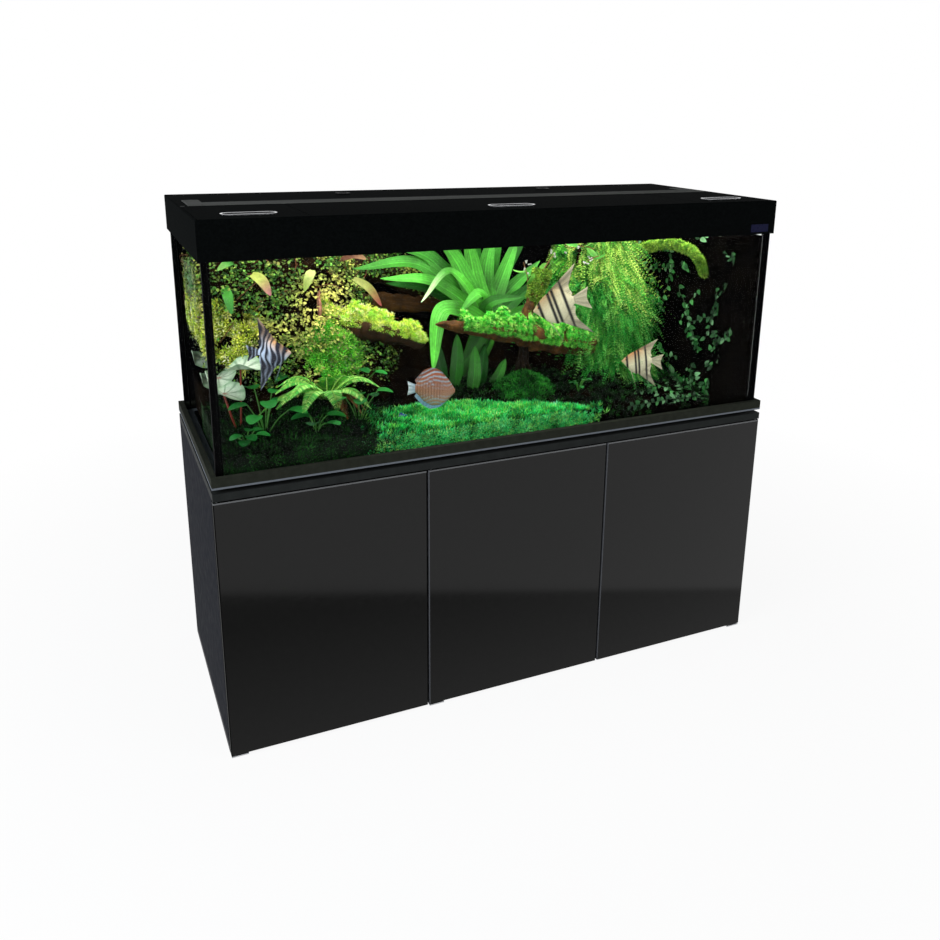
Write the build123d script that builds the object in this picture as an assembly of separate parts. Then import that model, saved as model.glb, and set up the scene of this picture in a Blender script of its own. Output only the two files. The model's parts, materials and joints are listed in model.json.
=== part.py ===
from build123d import *
import math
import os
import random

# Planted aquarium with a hinged-lid hood on a three-door stand.
# Millimetres; the front faces -Y, the floor is z = 0 and X runs along the front.

# Stand
stand_width = 1500
stand_depth = 600
stand_height = 680
board = 18
back_board = 8
back_inset = 4
glide_height = 6
glide_radius = 20
glide_plate_gap = 5
glide_rear_inset = 85
glide_side_inset = 36
screw_radius = 3
screw_head_radius = 5
screw_head_height = 3
screw_length = 60
screw_front_inset = 128
screw_rear_inset = 150
dowel_radius = 4
dowel_depth = 12
dowel_front_inset = 98
dowel_rear_inset = 120
port_side_inset = 237
port_drop = 122
port_radius = 40
port_bore_radius = 34
port_flange = 6
port_flange_thickness = 2
shelf_top_z = 340
shelf_front_setback = 38
shelf_side_clearance = 1
shelf_pin_radius = 2.5
shelf_pin_depth = 10
shelf_pin_front_inset = 50
shelf_pin_rear_inset = 48

# Doors and their pivots
door_floor_gap = 10
door_top_gap = 3
door_gap = 4
door_back_gap = 4
door_edge_round = 3
pin_radius = 3
pin_running_clearance = 0.05
pin_reach = 18
bush_radius = 5
bush_length = 20
pivot_plate_thickness = 3
pivot_plate_width = 40
pivot_plate_edge = 8
pivot_plate_nose = 7
pivot_plate_grip = 38
pivot_screw_radius = 2
pivot_screw_head_radius = 3.5
pivot_screw_head_height = 2
pivot_screw_length = 12

# Push latches
latch_width = 14
latch_height = 14
latch_length = 60
latch_setback = 2
latch_drop = 62
plunger_radius = 4
plunger_length = 45
plunger_travel = 4
plunger_bore_extra = 2
strike_width = 24
strike_height = 16
strike_thickness = 1
strike_gap = 0.2

# Glass tank
mat_thickness = 14
mat_setback = 2.5
glass = 12
glass_height = 509
trim_float = 10
trim_height = 26
trim_wall = 13
trim_glass_gap = 0.5
trim_ledge_width = 20
film_thickness = 0.5
bead_leg = 14
long_brace_width = 30
cross_brace_width = 60
brace_thickness = 10
brace_drop = 25

# Hood
hood_height = 87
hood_overlap = 30
hood_wall = 4
hood_glass_gap = 3
hood_edge_round = 3
ledge_thickness = 4
lower_ledge_width = 22
upper_ledge_width = 14
deck_thickness = 8
cross_bar_width = 24
cross_bar_height = 20
rail_front = -10
rail_width = 65
rail_end_gap = 55.5
rail_proud = 1
end_block_width = 38
end_block_depth = 120
end_block_proud = 2
cable_port_x = 300
cable_port_inset = 89.5
cable_port_radius = 16
cable_bore_radius = 11
cable_flange = 4
badge_width = 56
badge_height = 20
badge_thickness = 1.5
badge_inset = 22
badge_rise = 6

# Lids with flush pulls
end_lid_bay = 234.5
seam_gap = 2
lid_edge_gap = 1.5
lid_rest_gap = 0.4
axis_setback = 5.5
lug_width = 10
lug_gap = 1
lid_pin_radius = 2
lid_pin_reach = 14
lid_bore_extra = 2
pull_setback = 80
pull_width = 110
pull_depth = 32
pull_corner = 14
pull_wall = 2
pull_cup_depth = 16
ring_width = 5
ring_height = 2.5

# Light under the hood
light_end_gap = 89.5
light_width = 70
light_height = 18
light_wall = 2.5
light_board_thickness = 1.6
light_lens_thickness = 3
light_setback = 30

# Filter and heater behind the planting
filter_end_gap = 119.5
filter_width = 90
filter_depth = 92
filter_rise = 124
filter_height = 230
filter_wall = 3
filter_slots = 9
filter_slot_height = 6
filter_slot_margin = 14
pump_height = 50
nozzle_radius = 9
nozzle_length = 40
cup_radius = 18
cup_depth = 12.5
heater_end_gap = 124.5
heater_radius = 14
heater_rise = 134
heater_length = 250
heater_cap_radius = 17
heater_cap_height = 34
heater_clip_height = 22
heater_clip_wall = 5
equipment_clearance = 10

# Planting bed, stones, wood and main plants
bed_front_height = 32
bed_rear_height = 100
bed_sink = 6
stone_sides = 12
wood_radius = 24
twig_radius = 15
root_radius = 18
leaf_thickness = 3
crown_height = 40

# Derived positions
half_width = stand_width / 2
front = -stand_depth / 2
rear = stand_depth / 2
door_back = front + board
carcass_front = door_back + door_back_gap
base_top = glide_height + board
top_under = stand_height - board
door_bottom = door_floor_gap
door_top = top_under - door_top_gap
door_width = (stand_width - 2 * door_gap) / 3
pivot_inset = board / 2
pivot_y = front + pivot_inset
divider_x = (door_width + door_gap) / 2
back_front = rear - back_inset - back_board
glass_x = half_width - trim_wall - trim_glass_gap
glass_y = stand_depth / 2 - trim_wall - trim_glass_gap
inner_x = glass_x - glass
inner_y = glass_y - glass
pane_bottom = stand_height + mat_thickness
pane_top = pane_bottom + glass
glass_top = pane_top + glass_height
trim_bottom = stand_height + trim_float
trim_top = trim_bottom + trim_height
hood_bottom = glass_top - hood_overlap
hood_top = hood_bottom + hood_height
hood_x = glass_x + hood_glass_gap + hood_wall
hood_y = glass_y + hood_glass_gap + hood_wall
hood_inner_x = hood_x - hood_wall
hood_inner_y = hood_y - hood_wall
deck_under = hood_top - deck_thickness
bar_under = deck_under - cross_bar_height
seam_x = hood_inner_x - end_lid_bay
lid_under = deck_under + lid_rest_gap
lid_thickness = hood_top - lid_under
lid_axis_y = rail_front - axis_setback
lid_axis_z = (hood_top + lid_under) / 2
rail_rear = rail_front + rail_width
brace_under = glass_top - brace_drop
filter_x = inner_x - filter_end_gap
filter_bottom = pane_top + filter_rise
filter_back = inner_y - cup_depth
filter_front = filter_back - filter_depth
filter_top = filter_bottom + filter_height
heater_x = heater_end_gap - inner_x
heater_bottom = pane_top + heater_rise
heater_y = inner_y - cup_depth - heater_clip_wall - heater_radius
heater_top = heater_bottom + heater_length

parts = {}


def block(x0, x1, y0, y1, z0, z1):
    """Box given by its two corners."""
    middle = Pos((x0 + x1) / 2, (y0 + y1) / 2, (z0 + z1) / 2)
    return middle * Box(x1 - x0, y1 - y0, z1 - z0)


def rod_x(y, z, x0, x1, radius):
    """Round bar along X."""
    return Pos((x0 + x1) / 2, y, z) * Rot(0, 90, 0) * Cylinder(radius, x1 - x0)


def rod_y(x, z, y0, y1, radius):
    """Round bar along Y."""
    return Pos(x, (y0 + y1) / 2, z) * Rot(90, 0, 0) * Cylinder(radius, y1 - y0)


def rod_z(x, y, z0, z1, radius):
    """Upright round bar."""
    return Pos(x, y, (z0 + z1) / 2) * Cylinder(radius, z1 - z0)


def prism(points, z0, z1):
    """Upright prism over a plan outline."""
    outline = make_face(Polyline(*points, close=True))
    return Pos(0, 0, z0) * extrude(outline, z1 - z0, dir=(0, 0, 1))


def rounded_prism(x, y, width, depth, corner, z0, z1):
    """Upright prism over a rectangle with rounded corners."""
    outline = Pos(x, y, z0) * RectangleRounded(width, depth, corner)
    return extrude(outline, z1 - z0, dir=(0, 0, 1))


def mitred_frame(outer_x, outer_y, width, z0, z1):
    """Front, right, rear and left strips of a frame, cut at 45 degrees where they meet."""
    ix = outer_x - width
    iy = outer_y - width
    outlines = (
        [(-outer_x, -outer_y), (outer_x, -outer_y), (ix, -iy), (-ix, -iy)],
        [(outer_x, -outer_y), (outer_x, outer_y), (ix, iy), (ix, -iy)],
        [(outer_x, outer_y), (-outer_x, outer_y), (-ix, iy), (ix, iy)],
        [(-outer_x, outer_y), (-outer_x, -outer_y), (-ix, -iy), (-ix, iy)],
    )
    return [prism(points, z0, z1) for points in outlines]


def largest(shape):
    """The biggest solid of a shape, which drops slivers that a cut leaves."""
    return max(shape.solids(), key=lambda solid: solid.volume)


def add(name, *shapes):
    """Keep one named piece, or one group of like pieces."""
    solids = []
    for shape in shapes:
        solids.extend(shape.solids())
    parts[name] = solids


# Stand carcass
side_centres = (-half_width + board / 2, half_width - board / 2)
panel_centres = (side_centres[0], -divider_x, divider_x, side_centres[1])
screw_rows_y = (carcass_front + screw_front_inset, 0, rear - screw_rear_inset)
dowel_rows_y = (carcass_front + dowel_front_inset, rear - dowel_rear_inset)
screws = []
for x in panel_centres:
    for y in screw_rows_y:
        shank = rod_z(x, y, glide_height, glide_height + screw_length, screw_radius)
        head = rod_z(x, y, glide_height, glide_height + screw_head_height, screw_head_radius)
        screws.append(shank + head)
dowels = []
for x in panel_centres:
    for y in dowel_rows_y:
        dowels.append(rod_z(x, y, top_under - dowel_depth, top_under + dowel_depth, dowel_radius))


def upright(x, rear_y):
    """Side or divider standing on the base board, bored for its screws and dowels."""
    panel = block(x - board / 2, x + board / 2, carcass_front, rear_y, base_top, top_under)
    return panel - screws - dowels


shelf_front = carcass_front + shelf_front_setback
shelf_pin_rows_y = (shelf_front + shelf_pin_front_inset, back_front - shelf_pin_rear_inset)
shelf_pins = []
for side in (-1, 1):
    face = side * (divider_x - board / 2)
    ends = sorted((face + side * shelf_pin_depth, face - side * shelf_pin_depth))
    for y in shelf_pin_rows_y:
        shelf_pins.append(rod_x(y, shelf_top_z - board - shelf_pin_radius, *ends, shelf_pin_radius))

add("stand_sides", *[upright(x, rear) for x in side_centres])
add("stand_dividers", *[upright(x, back_front) - shelf_pins for x in (-divider_x, divider_x)])
add("top_dowels", *dowels)
add("shelf_pins", *shelf_pins)
shelf_x = divider_x - board / 2 - shelf_side_clearance
shelf_y = (shelf_front, back_front - shelf_side_clearance)
add("shelf", block(-shelf_x, shelf_x, *shelf_y, shelf_top_z - board, shelf_top_z))

# Back board with two hose ports in bushed holes
inside_x = half_width - board
back_panel = block(-inside_x, inside_x, back_front, back_front + back_board, base_top, top_under)
port_x = inside_x - port_side_inset
port_z = top_under - port_drop
port_bushes = []
for x in (-port_x, port_x):
    back_panel -= rod_y(x, port_z, back_front, back_front + back_board, port_radius)
    flange_back = back_front + back_board + port_flange_thickness
    ring = rod_y(x, port_z, back_front, back_front + back_board, port_radius)
    ring += rod_y(x, port_z, back_front + back_board, flange_back, port_radius + port_flange)
    port_bushes.append(ring - rod_y(x, port_z, back_front, flange_back, port_bore_radius))
add("stand_back", back_panel)
add("port_bushes", *port_bushes)

# Glides under the base board
glides = []
glide_x = half_width - glide_side_inset
glide_front_y = carcass_front + pivot_plate_grip + glide_plate_gap + glide_radius
for x in (-glide_x, -divider_x, divider_x, glide_x):
    for y in (glide_front_y, rear - glide_rear_inset):
        glides.append(rod_z(x, y, 0, glide_height, glide_radius))
add("glides", *glides)

# Doors on pivot pins; each entry is name, left edge, side of the hinge
door_list = (
    ("door_left", -half_width, -1),
    ("door_middle", -door_width / 2, -1),
    ("door_right", half_width - door_width, 1),
)
top_pins = []
bottom_pins = []
pivot_plates = []
pivot_screws = []
latch_bodies = []
latch_z = top_under - latch_drop
bore = pin_radius + pin_running_clearance
for name, left, side in door_list:
    right = left + door_width
    axis_x = left + pivot_inset if side < 0 else right - pivot_inset
    panel = block(left, right, front, door_back, door_bottom, door_top)
    panel = fillet(panel.edges().filter_by(Axis.Z), door_edge_round)
    bushes = []
    for z0 in (door_bottom, door_top - bush_length):
        seat = rod_z(axis_x, pivot_y, z0, z0 + bush_length, bush_radius)
        panel -= seat
        bushes.append(seat - rod_z(axis_x, pivot_y, z0, z0 + bush_length, bore))
    add(name, panel)
    latch_side = -1 if side < 0 else 1
    latch_face = (divider_x if name != "door_left" else -divider_x) + latch_side * board / 2
    latch_x = latch_face + latch_side * latch_width / 2
    strike = block(
        latch_x - strike_width / 2,
        latch_x + strike_width / 2,
        door_back,
        door_back + strike_thickness,
        latch_z + latch_height / 2 - strike_height / 2,
        latch_z + latch_height / 2 + strike_height / 2,
    )
    add(name + "_fittings", strike, *bushes)

    # Pivot pins at the top and bottom of the door
    pin_low = door_top - pin_reach
    top_pins.append(rod_z(axis_x, pivot_y, pin_low, top_under + dowel_depth, pin_radius))
    plate_top = glide_height
    plate_under = plate_top - pivot_plate_thickness
    inward = -side
    plate_far = axis_x + inward * (pivot_plate_width - pivot_plate_edge)
    plate_x = sorted((axis_x - inward * pivot_plate_edge, plate_far))
    plate_y = (pivot_y - pivot_plate_nose, carcass_front + pivot_plate_grip)
    plate = block(*plate_x, *plate_y, plate_under, plate_top)
    pin = rod_z(axis_x, pivot_y, plate_under, door_bottom + pin_reach, pin_radius)
    plate -= pin
    bottom_pins.append(pin)
    for fraction in (0.3, 0.8):
        screw_x = plate_x[0] + fraction * pivot_plate_width
        screw_y = carcass_front + pivot_plate_grip / 2
        screw = rod_z(screw_x, screw_y, plate_under, plate_under + pivot_screw_length, pivot_screw_radius)
        plate -= screw
        head_under = plate_under - pivot_screw_head_height
        screw += rod_z(screw_x, screw_y, head_under, plate_under, pivot_screw_head_radius)
        pivot_screws.append(screw)
    pivot_plates.append(plate)

    # Push latch on the divider beside the free edge of the door
    latch_y = carcass_front + latch_setback
    body = block(
        latch_x - latch_width / 2,
        latch_x + latch_width / 2,
        latch_y,
        latch_y + latch_length,
        latch_z,
        latch_z + latch_height,
    )
    tip = door_back + strike_thickness + strike_gap
    tail = tip + plunger_length
    axis_z = latch_z + latch_height / 2
    bore_end = tail + plunger_travel + plunger_bore_extra
    body -= rod_y(latch_x, axis_z, latch_y, bore_end, plunger_radius + pin_running_clearance)
    latch_bodies.append(body)
    add(name.replace("door", "plunger"), rod_y(latch_x, axis_z, tip, tail, plunger_radius))

base = block(-half_width, half_width, carcass_front, rear, glide_height, base_top)
add("stand_base", base - screws - pivot_screws)
top = block(-half_width, half_width, front, rear, top_under, stand_height)
add("stand_top", top - dowels - top_pins)
add("door_pivots", *top_pins, *bottom_pins, *pivot_plates)
add("screws", *screws, *pivot_screws)
add("latch_bodies", *latch_bodies)

# Glass tank on its mat
mat_x = glass_x - trim_ledge_width - mat_setback
mat_y = glass_y - trim_ledge_width - mat_setback
add("foam_mat", block(-mat_x, mat_x, -mat_y, mat_y, stand_height, pane_bottom))
add("pane_base", block(-glass_x, glass_x, -glass_y, glass_y, pane_bottom, pane_top))
long_panes = []
for span_y in ((-glass_y, -inner_y), (inner_y, glass_y)):
    long_panes.append(block(-glass_x, glass_x, *span_y, pane_top, glass_top))
add("panes_long", *long_panes)
side_panes = []
for span_x in ((-glass_x, -inner_x), (inner_x, glass_x)):
    side_panes.append(block(*span_x, -inner_y, inner_y, pane_top, glass_top))
add("panes_side", *side_panes)
film_rear = glass_y + film_thickness
add("rear_film", block(-glass_x, glass_x, glass_y, film_rear, trim_top, glass_top))
beads = []
for sx in (-1, 1):
    for sy in (-1, 1):
        corner = (sx * inner_x, sy * inner_y)
        along_x = (sx * (inner_x - bead_leg), sy * inner_y)
        along_y = (sx * inner_x, sy * (inner_y - bead_leg))
        beads.append(prism([corner, along_x, along_y], pane_top, brace_under))
add("silicone_beads", *beads)
braces = []
for sy in (-1, 1):
    span_y = sorted((sy * inner_y, sy * (inner_y - long_brace_width)))
    braces.append(block(-inner_x, inner_x, *span_y, brace_under, brace_under + brace_thickness))
for x in (-seam_x, seam_x):
    span_x = (x - cross_brace_width / 2, x + cross_brace_width / 2)
    over = brace_under + brace_thickness
    braces.append(block(*span_x, -inner_y, inner_y, over, over + brace_thickness))
add("glass_braces", *braces)

# Base trim around the glass
trim_ledge_outer = (glass_x + trim_glass_gap, glass_y + trim_glass_gap)
trim_strips = mitred_frame(half_width, rear, trim_wall, trim_bottom, trim_top)
ledge_reach = trim_ledge_width + trim_glass_gap
trim_ledges = mitred_frame(*trim_ledge_outer, ledge_reach, trim_bottom, pane_bottom)
add("base_trim", *trim_strips, *trim_ledges)

# Hood walls and ledges
walls = mitred_frame(hood_x, hood_y, hood_wall, hood_bottom, hood_top)
rounded_walls = []
for wall in walls:
    outer = wall.edges().group_by(Axis.Z)[-1].sort_by(SortBy.LENGTH)[-1]
    rounded_walls.append(fillet([outer], hood_edge_round))
add("hood_walls", *rounded_walls)
lower_top = glass_top + ledge_thickness
upper_under = deck_under - ledge_thickness
hood_frame = mitred_frame(hood_inner_x, hood_inner_y, lower_ledge_width, glass_top, lower_top)
hood_frame += mitred_frame(hood_inner_x, hood_inner_y, upper_ledge_width, upper_under, deck_under)
bar_y = hood_inner_y - upper_ledge_width
for x in (-seam_x, seam_x):
    span_x = (x - cross_bar_width / 2, x + cross_bar_width / 2)
    hood_frame.append(block(*span_x, -bar_y, bar_y, bar_under, deck_under))
add("hood_frame", *hood_frame)

# Hinge rail, its end blocks and the fixed rear deck around them
rail_top = hood_top + rail_proud
rail_end_x = hood_inner_x - rail_end_gap
add("hinge_rail", block(-rail_end_x, rail_end_x, rail_front, rail_rear, deck_under, rail_top))
block_out = rail_end_x + end_block_width
end_blocks = []
end_seats = []
for side in (-1, 1):
    span_x = sorted((side * rail_end_x, side * block_out))
    span_y = (rail_front, rail_front + end_block_depth)
    end_blocks.append(block(*span_x, *span_y, deck_under, hood_top + end_block_proud))
    end_seats.append(block(*span_x, *span_y, deck_under, hood_top))
deck = block(-hood_inner_x, hood_inner_x, rail_front, hood_inner_y, deck_under, hood_top)
deck -= block(-rail_end_x, rail_end_x, rail_front, rail_rear, deck_under, hood_top)
deck = deck - end_seats
cable_port_y = hood_inner_y - cable_port_inset
cable_bushes = []
for x in (-cable_port_x, cable_port_x):
    hole = rod_z(x, cable_port_y, deck_under, hood_top, cable_port_radius)
    deck -= hole
    flange_top = hood_top + port_flange_thickness
    bush = hole + rod_z(x, cable_port_y, hood_top, flange_top, cable_port_radius + cable_flange)
    cable_bushes.append(bush - rod_z(x, cable_port_y, deck_under, flange_top, cable_bore_radius))
add("hood_deck", deck)
add("cable_bushes", *cable_bushes)

# Hinge lugs and pins; the lugs at the ends also meet the hood walls
lug_centres = (-hood_inner_x + lug_width / 2, -seam_x, seam_x, hood_inner_x - lug_width / 2)
lugs = []
pins = []
for x in lug_centres:
    span_x = (x - lug_width / 2, x + lug_width / 2)
    lug = block(*span_x, lid_axis_y, rail_front, lid_under, hood_top)
    lug += rod_x(lid_axis_y, lid_axis_z, *span_x, lid_thickness / 2)
    reach = lug_width / 2 + lug_gap + lid_pin_reach
    low = x if x == lug_centres[0] else x - reach
    high = x if x == lug_centres[3] else x + reach
    pin = rod_x(lid_axis_y, lid_axis_z, low, high, lid_pin_radius)
    lugs.append(lug - pin)
    pins.append(pin)
add("hinge_blocks", *end_blocks, *lugs)
add("lid_pins", *pins)

# Lids; each entry is name, left end, right end, middle of its pull
inner_end = seam_x + seam_gap / 2
outer_end = hood_inner_x - lid_edge_gap
pull_x = (inner_end + outer_end) / 2
pull_y = -hood_y + pull_setback
lid_list = (
    ("lid_left", -outer_end, -inner_end, -pull_x),
    ("lid_centre", -seam_x + seam_gap / 2, seam_x - seam_gap / 2, 0),
    ("lid_right", inner_end, outer_end, pull_x),
)
lid_front = -hood_inner_y + lid_edge_gap
lid_bore = lid_pin_radius + pin_running_clearance
cup_outer = (pull_width + 2 * pull_wall, pull_depth + 2 * pull_wall, pull_corner + pull_wall)
ring_outer = (pull_width + 2 * ring_width, pull_depth + 2 * ring_width, pull_corner + ring_width)
cup_bottom = hood_top - pull_cup_depth
for name, left, right, middle in lid_list:
    panel = block(left, right, lid_front, lid_axis_y, lid_under, hood_top)
    panel += rod_x(lid_axis_y, lid_axis_z, left, right, lid_thickness / 2)
    notch_front = lid_axis_y - lid_thickness / 2 - lug_gap
    for x in lug_centres:
        clear = lug_width / 2 + lug_gap
        panel -= block(x - clear, x + clear, notch_front, rail_front, lid_under, hood_top)
        depth = clear + lid_pin_reach + lid_bore_extra
        panel -= rod_x(lid_axis_y, lid_axis_z, x - depth, x + depth, lid_bore)
    panel += rounded_prism(middle, pull_y, *cup_outer, cup_bottom, hood_top)
    floor = cup_bottom + pull_wall
    panel -= rounded_prism(middle, pull_y, pull_width, pull_depth, pull_corner, floor, hood_top)
    add(name, panel)
    ring_top = hood_top + ring_height
    ring = rounded_prism(middle, pull_y, *ring_outer, hood_top, ring_top)
    ring -= rounded_prism(middle, pull_y, pull_width, pull_depth, pull_corner, hood_top, ring_top)
    add(name + "_pull_ring", ring)

# Light bar hung under the cross bars
light_x = hood_inner_x - light_end_gap
light_y = rail_front + light_setback
light_front = light_y - light_width / 2
light_rear = light_y + light_width / 2
light_under = bar_under - light_height
channel = block(-light_x, light_x, light_front, light_rear, light_under, bar_under)
hollow_y = (light_front + light_wall, light_rear - light_wall)
roof = bar_under - light_wall
channel -= block(-light_x + light_wall, light_x - light_wall, *hollow_y, light_under, roof)
add("light_housing", channel)
lamp_x = light_x - light_wall
add("light_board", block(-lamp_x, lamp_x, *hollow_y, roof - light_board_thickness, roof))
add("light_lens", block(-lamp_x, lamp_x, *hollow_y, light_under, light_under + light_lens_thickness))

# Blank badge plate on the front of the hood
badge_x = hood_x - badge_inset
badge_z = hood_bottom + badge_rise
badge_y = (-hood_y - badge_thickness, -hood_y)
add("badge_plate", block(badge_x - badge_width, badge_x, *badge_y, badge_z, badge_z + badge_height))

# Filter on suction cups
filter_left = filter_x - filter_width / 2
filter_right = filter_x + filter_width / 2
case = block(filter_left, filter_right, filter_front, filter_back, filter_bottom, filter_top)
core = block(
    filter_left + filter_wall,
    filter_right - filter_wall,
    filter_front + filter_wall,
    filter_back - filter_wall,
    filter_bottom + filter_wall,
    filter_top,
)
case -= core
slot_pitch = (filter_height - 2 * filter_slot_margin) / filter_slots
for k in range(filter_slots):
    z = filter_bottom + filter_slot_margin + (k + 0.5) * slot_pitch
    slot_x = filter_width / 2 - filter_slot_margin
    case -= block(
        filter_x - slot_x,
        filter_x + slot_x,
        filter_front,
        filter_front + filter_wall,
        z - filter_slot_height / 2,
        z + filter_slot_height / 2,
    )
add("filter_case", case)
add("filter_sponge", core)
pump = block(filter_left, filter_right, filter_front, filter_back, filter_top, filter_top + pump_height)
nozzle_z = filter_top + pump_height / 2
nozzle_y = (filter_front - nozzle_length, filter_front)
pump += rod_y(filter_x, nozzle_z, *nozzle_y, nozzle_radius)
add("filter_pump", pump)
cups = []
for x in (filter_left + cup_radius, filter_right - cup_radius):
    for z in (filter_bottom + 2 * cup_radius, filter_top - 2 * cup_radius):
        cups.append(rod_y(x, z, filter_back, inner_y, cup_radius))
for z in (heater_bottom + heater_length * 0.2, heater_bottom + heater_length * 0.8):
    cups.append(rod_y(heater_x, z, inner_y - cup_depth, inner_y, cup_radius))

# Heater tube in two clips
add("heater_tube", rod_z(heater_x, heater_y, heater_bottom, heater_top, heater_radius))
heater_cap = rod_z(heater_x, heater_y, heater_top, heater_top + heater_cap_height, heater_cap_radius)
add("heater_cap", heater_cap)
clips = []
for z in (heater_bottom + heater_length * 0.2, heater_bottom + heater_length * 0.8):
    reach = heater_radius + heater_clip_wall
    clip = block(
        heater_x - reach,
        heater_x + reach,
        heater_y - reach,
        heater_y + reach,
        z - heater_clip_height / 2,
        z + heater_clip_height / 2,
    )
    clips.append(clip - rod_z(heater_x, heater_y, heater_bottom, heater_top, heater_radius))
add("equipment_clips", *clips, *cups)

# Planting: everything stands on the base pane and the bed is filled in around it
water_space = block(-inner_x, inner_x, -inner_y, inner_y, pane_top, brace_under) - beads
filter_room = block(
    filter_left - equipment_clearance,
    filter_right + equipment_clearance,
    filter_front - equipment_clearance - nozzle_length,
    inner_y,
    filter_bottom - equipment_clearance,
    brace_under,
)
heater_room = block(
    heater_x - heater_cap_radius - 2 * equipment_clearance,
    heater_x + heater_cap_radius + 2 * equipment_clearance,
    heater_y - heater_cap_radius - 2 * equipment_clearance,
    inner_y,
    heater_bottom - equipment_clearance,
    brace_under,
)


def stone(sections, seed):
    """Rough pile lofted through uneven rings; each section is x, y, z and two half sizes."""
    rng = random.Random(seed)
    rings = []
    for x, y, z, rx, ry in sections:
        points = []
        for k in range(stone_sides):
            angle = 2 * math.pi * k / stone_sides
            reach = rng.uniform(0.84, 1.0)
            points.append((x + rx * reach * math.cos(angle), y + ry * reach * math.sin(angle), z))
        rings.append(make_face(Polyline(*points, close=True)))
    return loft(rings, ruled=True)


def branch(points, radius):
    """Round wood along a smooth line."""
    path = Spline(*points)
    start = Plane(origin=path @ 0, z_dir=path % 0)
    return sweep(start * Circle(radius), path)


def clump(x, y, ground, crown_radius, leaves):
    """Rooted plant: a crown and flat oval leaves given as turn, lean, length and width."""
    low = ground - bed_sink
    plant = rod_z(x, y, low, ground + crown_height, crown_radius)
    for turn, lean, length, width in leaves:
        oval = Pos(0, 0, length / 2) * (Plane.XZ * Ellipse(width / 2, length / 2))
        blade = extrude(oval, leaf_thickness / 2, both=True)
        plant += Pos(x, y, ground) * Rot(0, 0, turn) * Rot(lean, 0, 0) * blade
    return plant


def bed_height(y):
    """Top of the planting bed at a depth in the tank."""
    share = (y + inner_y) / (2 * inner_y)
    return pane_top + bed_front_height + share * (bed_rear_height - bed_front_height)


end_wall = stone(
    (
        (inner_x - 34.5, -10, pane_top, 110, 220),
        (inner_x - 32.5, 0, pane_top + 194, 100, 210),
        (inner_x - 29.5, 20, pane_top + 354, 95, 190),
        (inner_x - 24.5, 40, pane_top + 469, 80, 160),
    ),
    3,
)
end_wall = largest((end_wall & water_space) - filter_room)
hill_left = stone(
    (
        (244.5 - inner_x, inner_y - 214.5, pane_top, 260, 205),
        (224.5 - inner_x, inner_y - 194.5, pane_top + 154, 240, 180),
        (194.5 - inner_x, inner_y - 164.5, pane_top + 274, 205, 150),
        (184.5 - inner_x, inner_y - 134.5, pane_top + 394, 160, 115),
    ),
    5,
)
hill_left = largest((hill_left & water_space) - heater_room)
hill_right = stone(
    (
        (inner_x - 304.5, inner_y - 204.5, pane_top, 215, 195),
        (inner_x - 294.5, inner_y - 184.5, pane_top + 144, 190, 170),
        (inner_x - 274.5, inner_y - 164.5, pane_top + 284, 160, 150),
        (inner_x - 264.5, inner_y - 144.5, pane_top + 434, 130, 120),
    ),
    8,
)
hill_right = largest((hill_right & water_space) - filter_room - end_wall)
ridge = stone(
    (
        (-20, inner_y - 89.5, pane_top, 230, 85),
        (-30, inner_y - 79.5, pane_top + 94, 200, 72),
        (-40, inner_y - 69.5, pane_top + 194, 150, 60),
    ),
    11,
)
ridge = largest((ridge & water_space) - hill_left - hill_right)

log_end = Vector(inner_x - 364.5, inner_y - 244.5, pane_top + 154)
log_points = (
    log_end + Vector(-510, -125, 105),
    log_end + Vector(-340, -115, 75),
    log_end + Vector(-180, -80, 40),
    log_end,
)
fork = log_end + Vector(-270, -102, 55)
root = log_end + Vector(-320, -110, 70)
log = branch(log_points, wood_radius)
log += branch((fork, fork + Vector(30, -6, 85), fork + Vector(60, 12, 170)), twig_radius)
log += rod_z(root.X, root.Y, pane_top, root.Z, root_radius)
log = largest(log - hill_right)

strap_y = inner_y - 199.5
strap_leaves = (
    (20, 12, 400, 62),
    (75, 24, 390, 70),
    (115, 34, 360, 66),
    (150, 16, 420, 64),
    (200, 26, 340, 60),
    (245, 30, 380, 70),
    (290, 22, 400, 66),
    (335, 30, 370, 64),
)
strap_plant = clump(-110, strap_y, bed_height(strap_y), 24, strap_leaves)
strap_plant = largest(strap_plant - hill_left - hill_right - ridge - log)

fern_x = 294.5 - inner_x
fern_y = 84.5 - inner_y
fern_leaves = [(turn, 52 + 8 * (turn % 2), 120, 26) for turn in range(0, 360, 33)]
fern = clump(fern_x, fern_y, bed_height(fern_y), 16, fern_leaves)
fern = largest(fern & water_space)

lily_x = 84.5 - inner_x
lily_y = 124.5 - inner_y
lily_leaves = [(turn, 30 + 12 * (k % 2), 150 + 14 * k, 66) for k, turn in enumerate((25, 95, 165, 235, 305))]
lily = clump(lily_x, lily_y, bed_height(lily_y), 18, lily_leaves)
lily = largest((lily & water_space) - fern)
hill_left = largest(hill_left - fern - lily)

slope = [
    (-inner_y, pane_top),
    (inner_y, pane_top),
    (inner_y, pane_top + bed_rear_height),
    (-inner_y, pane_top + bed_front_height),
]
bed_face = make_face(Polyline(*[(-inner_x, y, z) for y, z in slope], close=True))
bed = extrude(bed_face, 2 * inner_x, dir=(1, 0, 0)) - beads
bed = largest(bed - end_wall - hill_left - hill_right - ridge - log - strap_plant - fern - lily)

add("end_wall", end_wall)
add("stone_hills", hill_left, ridge, hill_right)
add("log", log)
add("strap_plant", strap_plant)
add("small_plants", fern, lily)
add("planting_bed", bed)

# Write one file per named piece
os.makedirs("parts", exist_ok=True)
for name, solids in parts.items():
    shape = solids[0] if len(solids) == 1 else Compound(children=solids)
    shape.label = name
    export_step(shape, os.path.join("parts", name + ".step"))
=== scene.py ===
import json
import math

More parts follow.
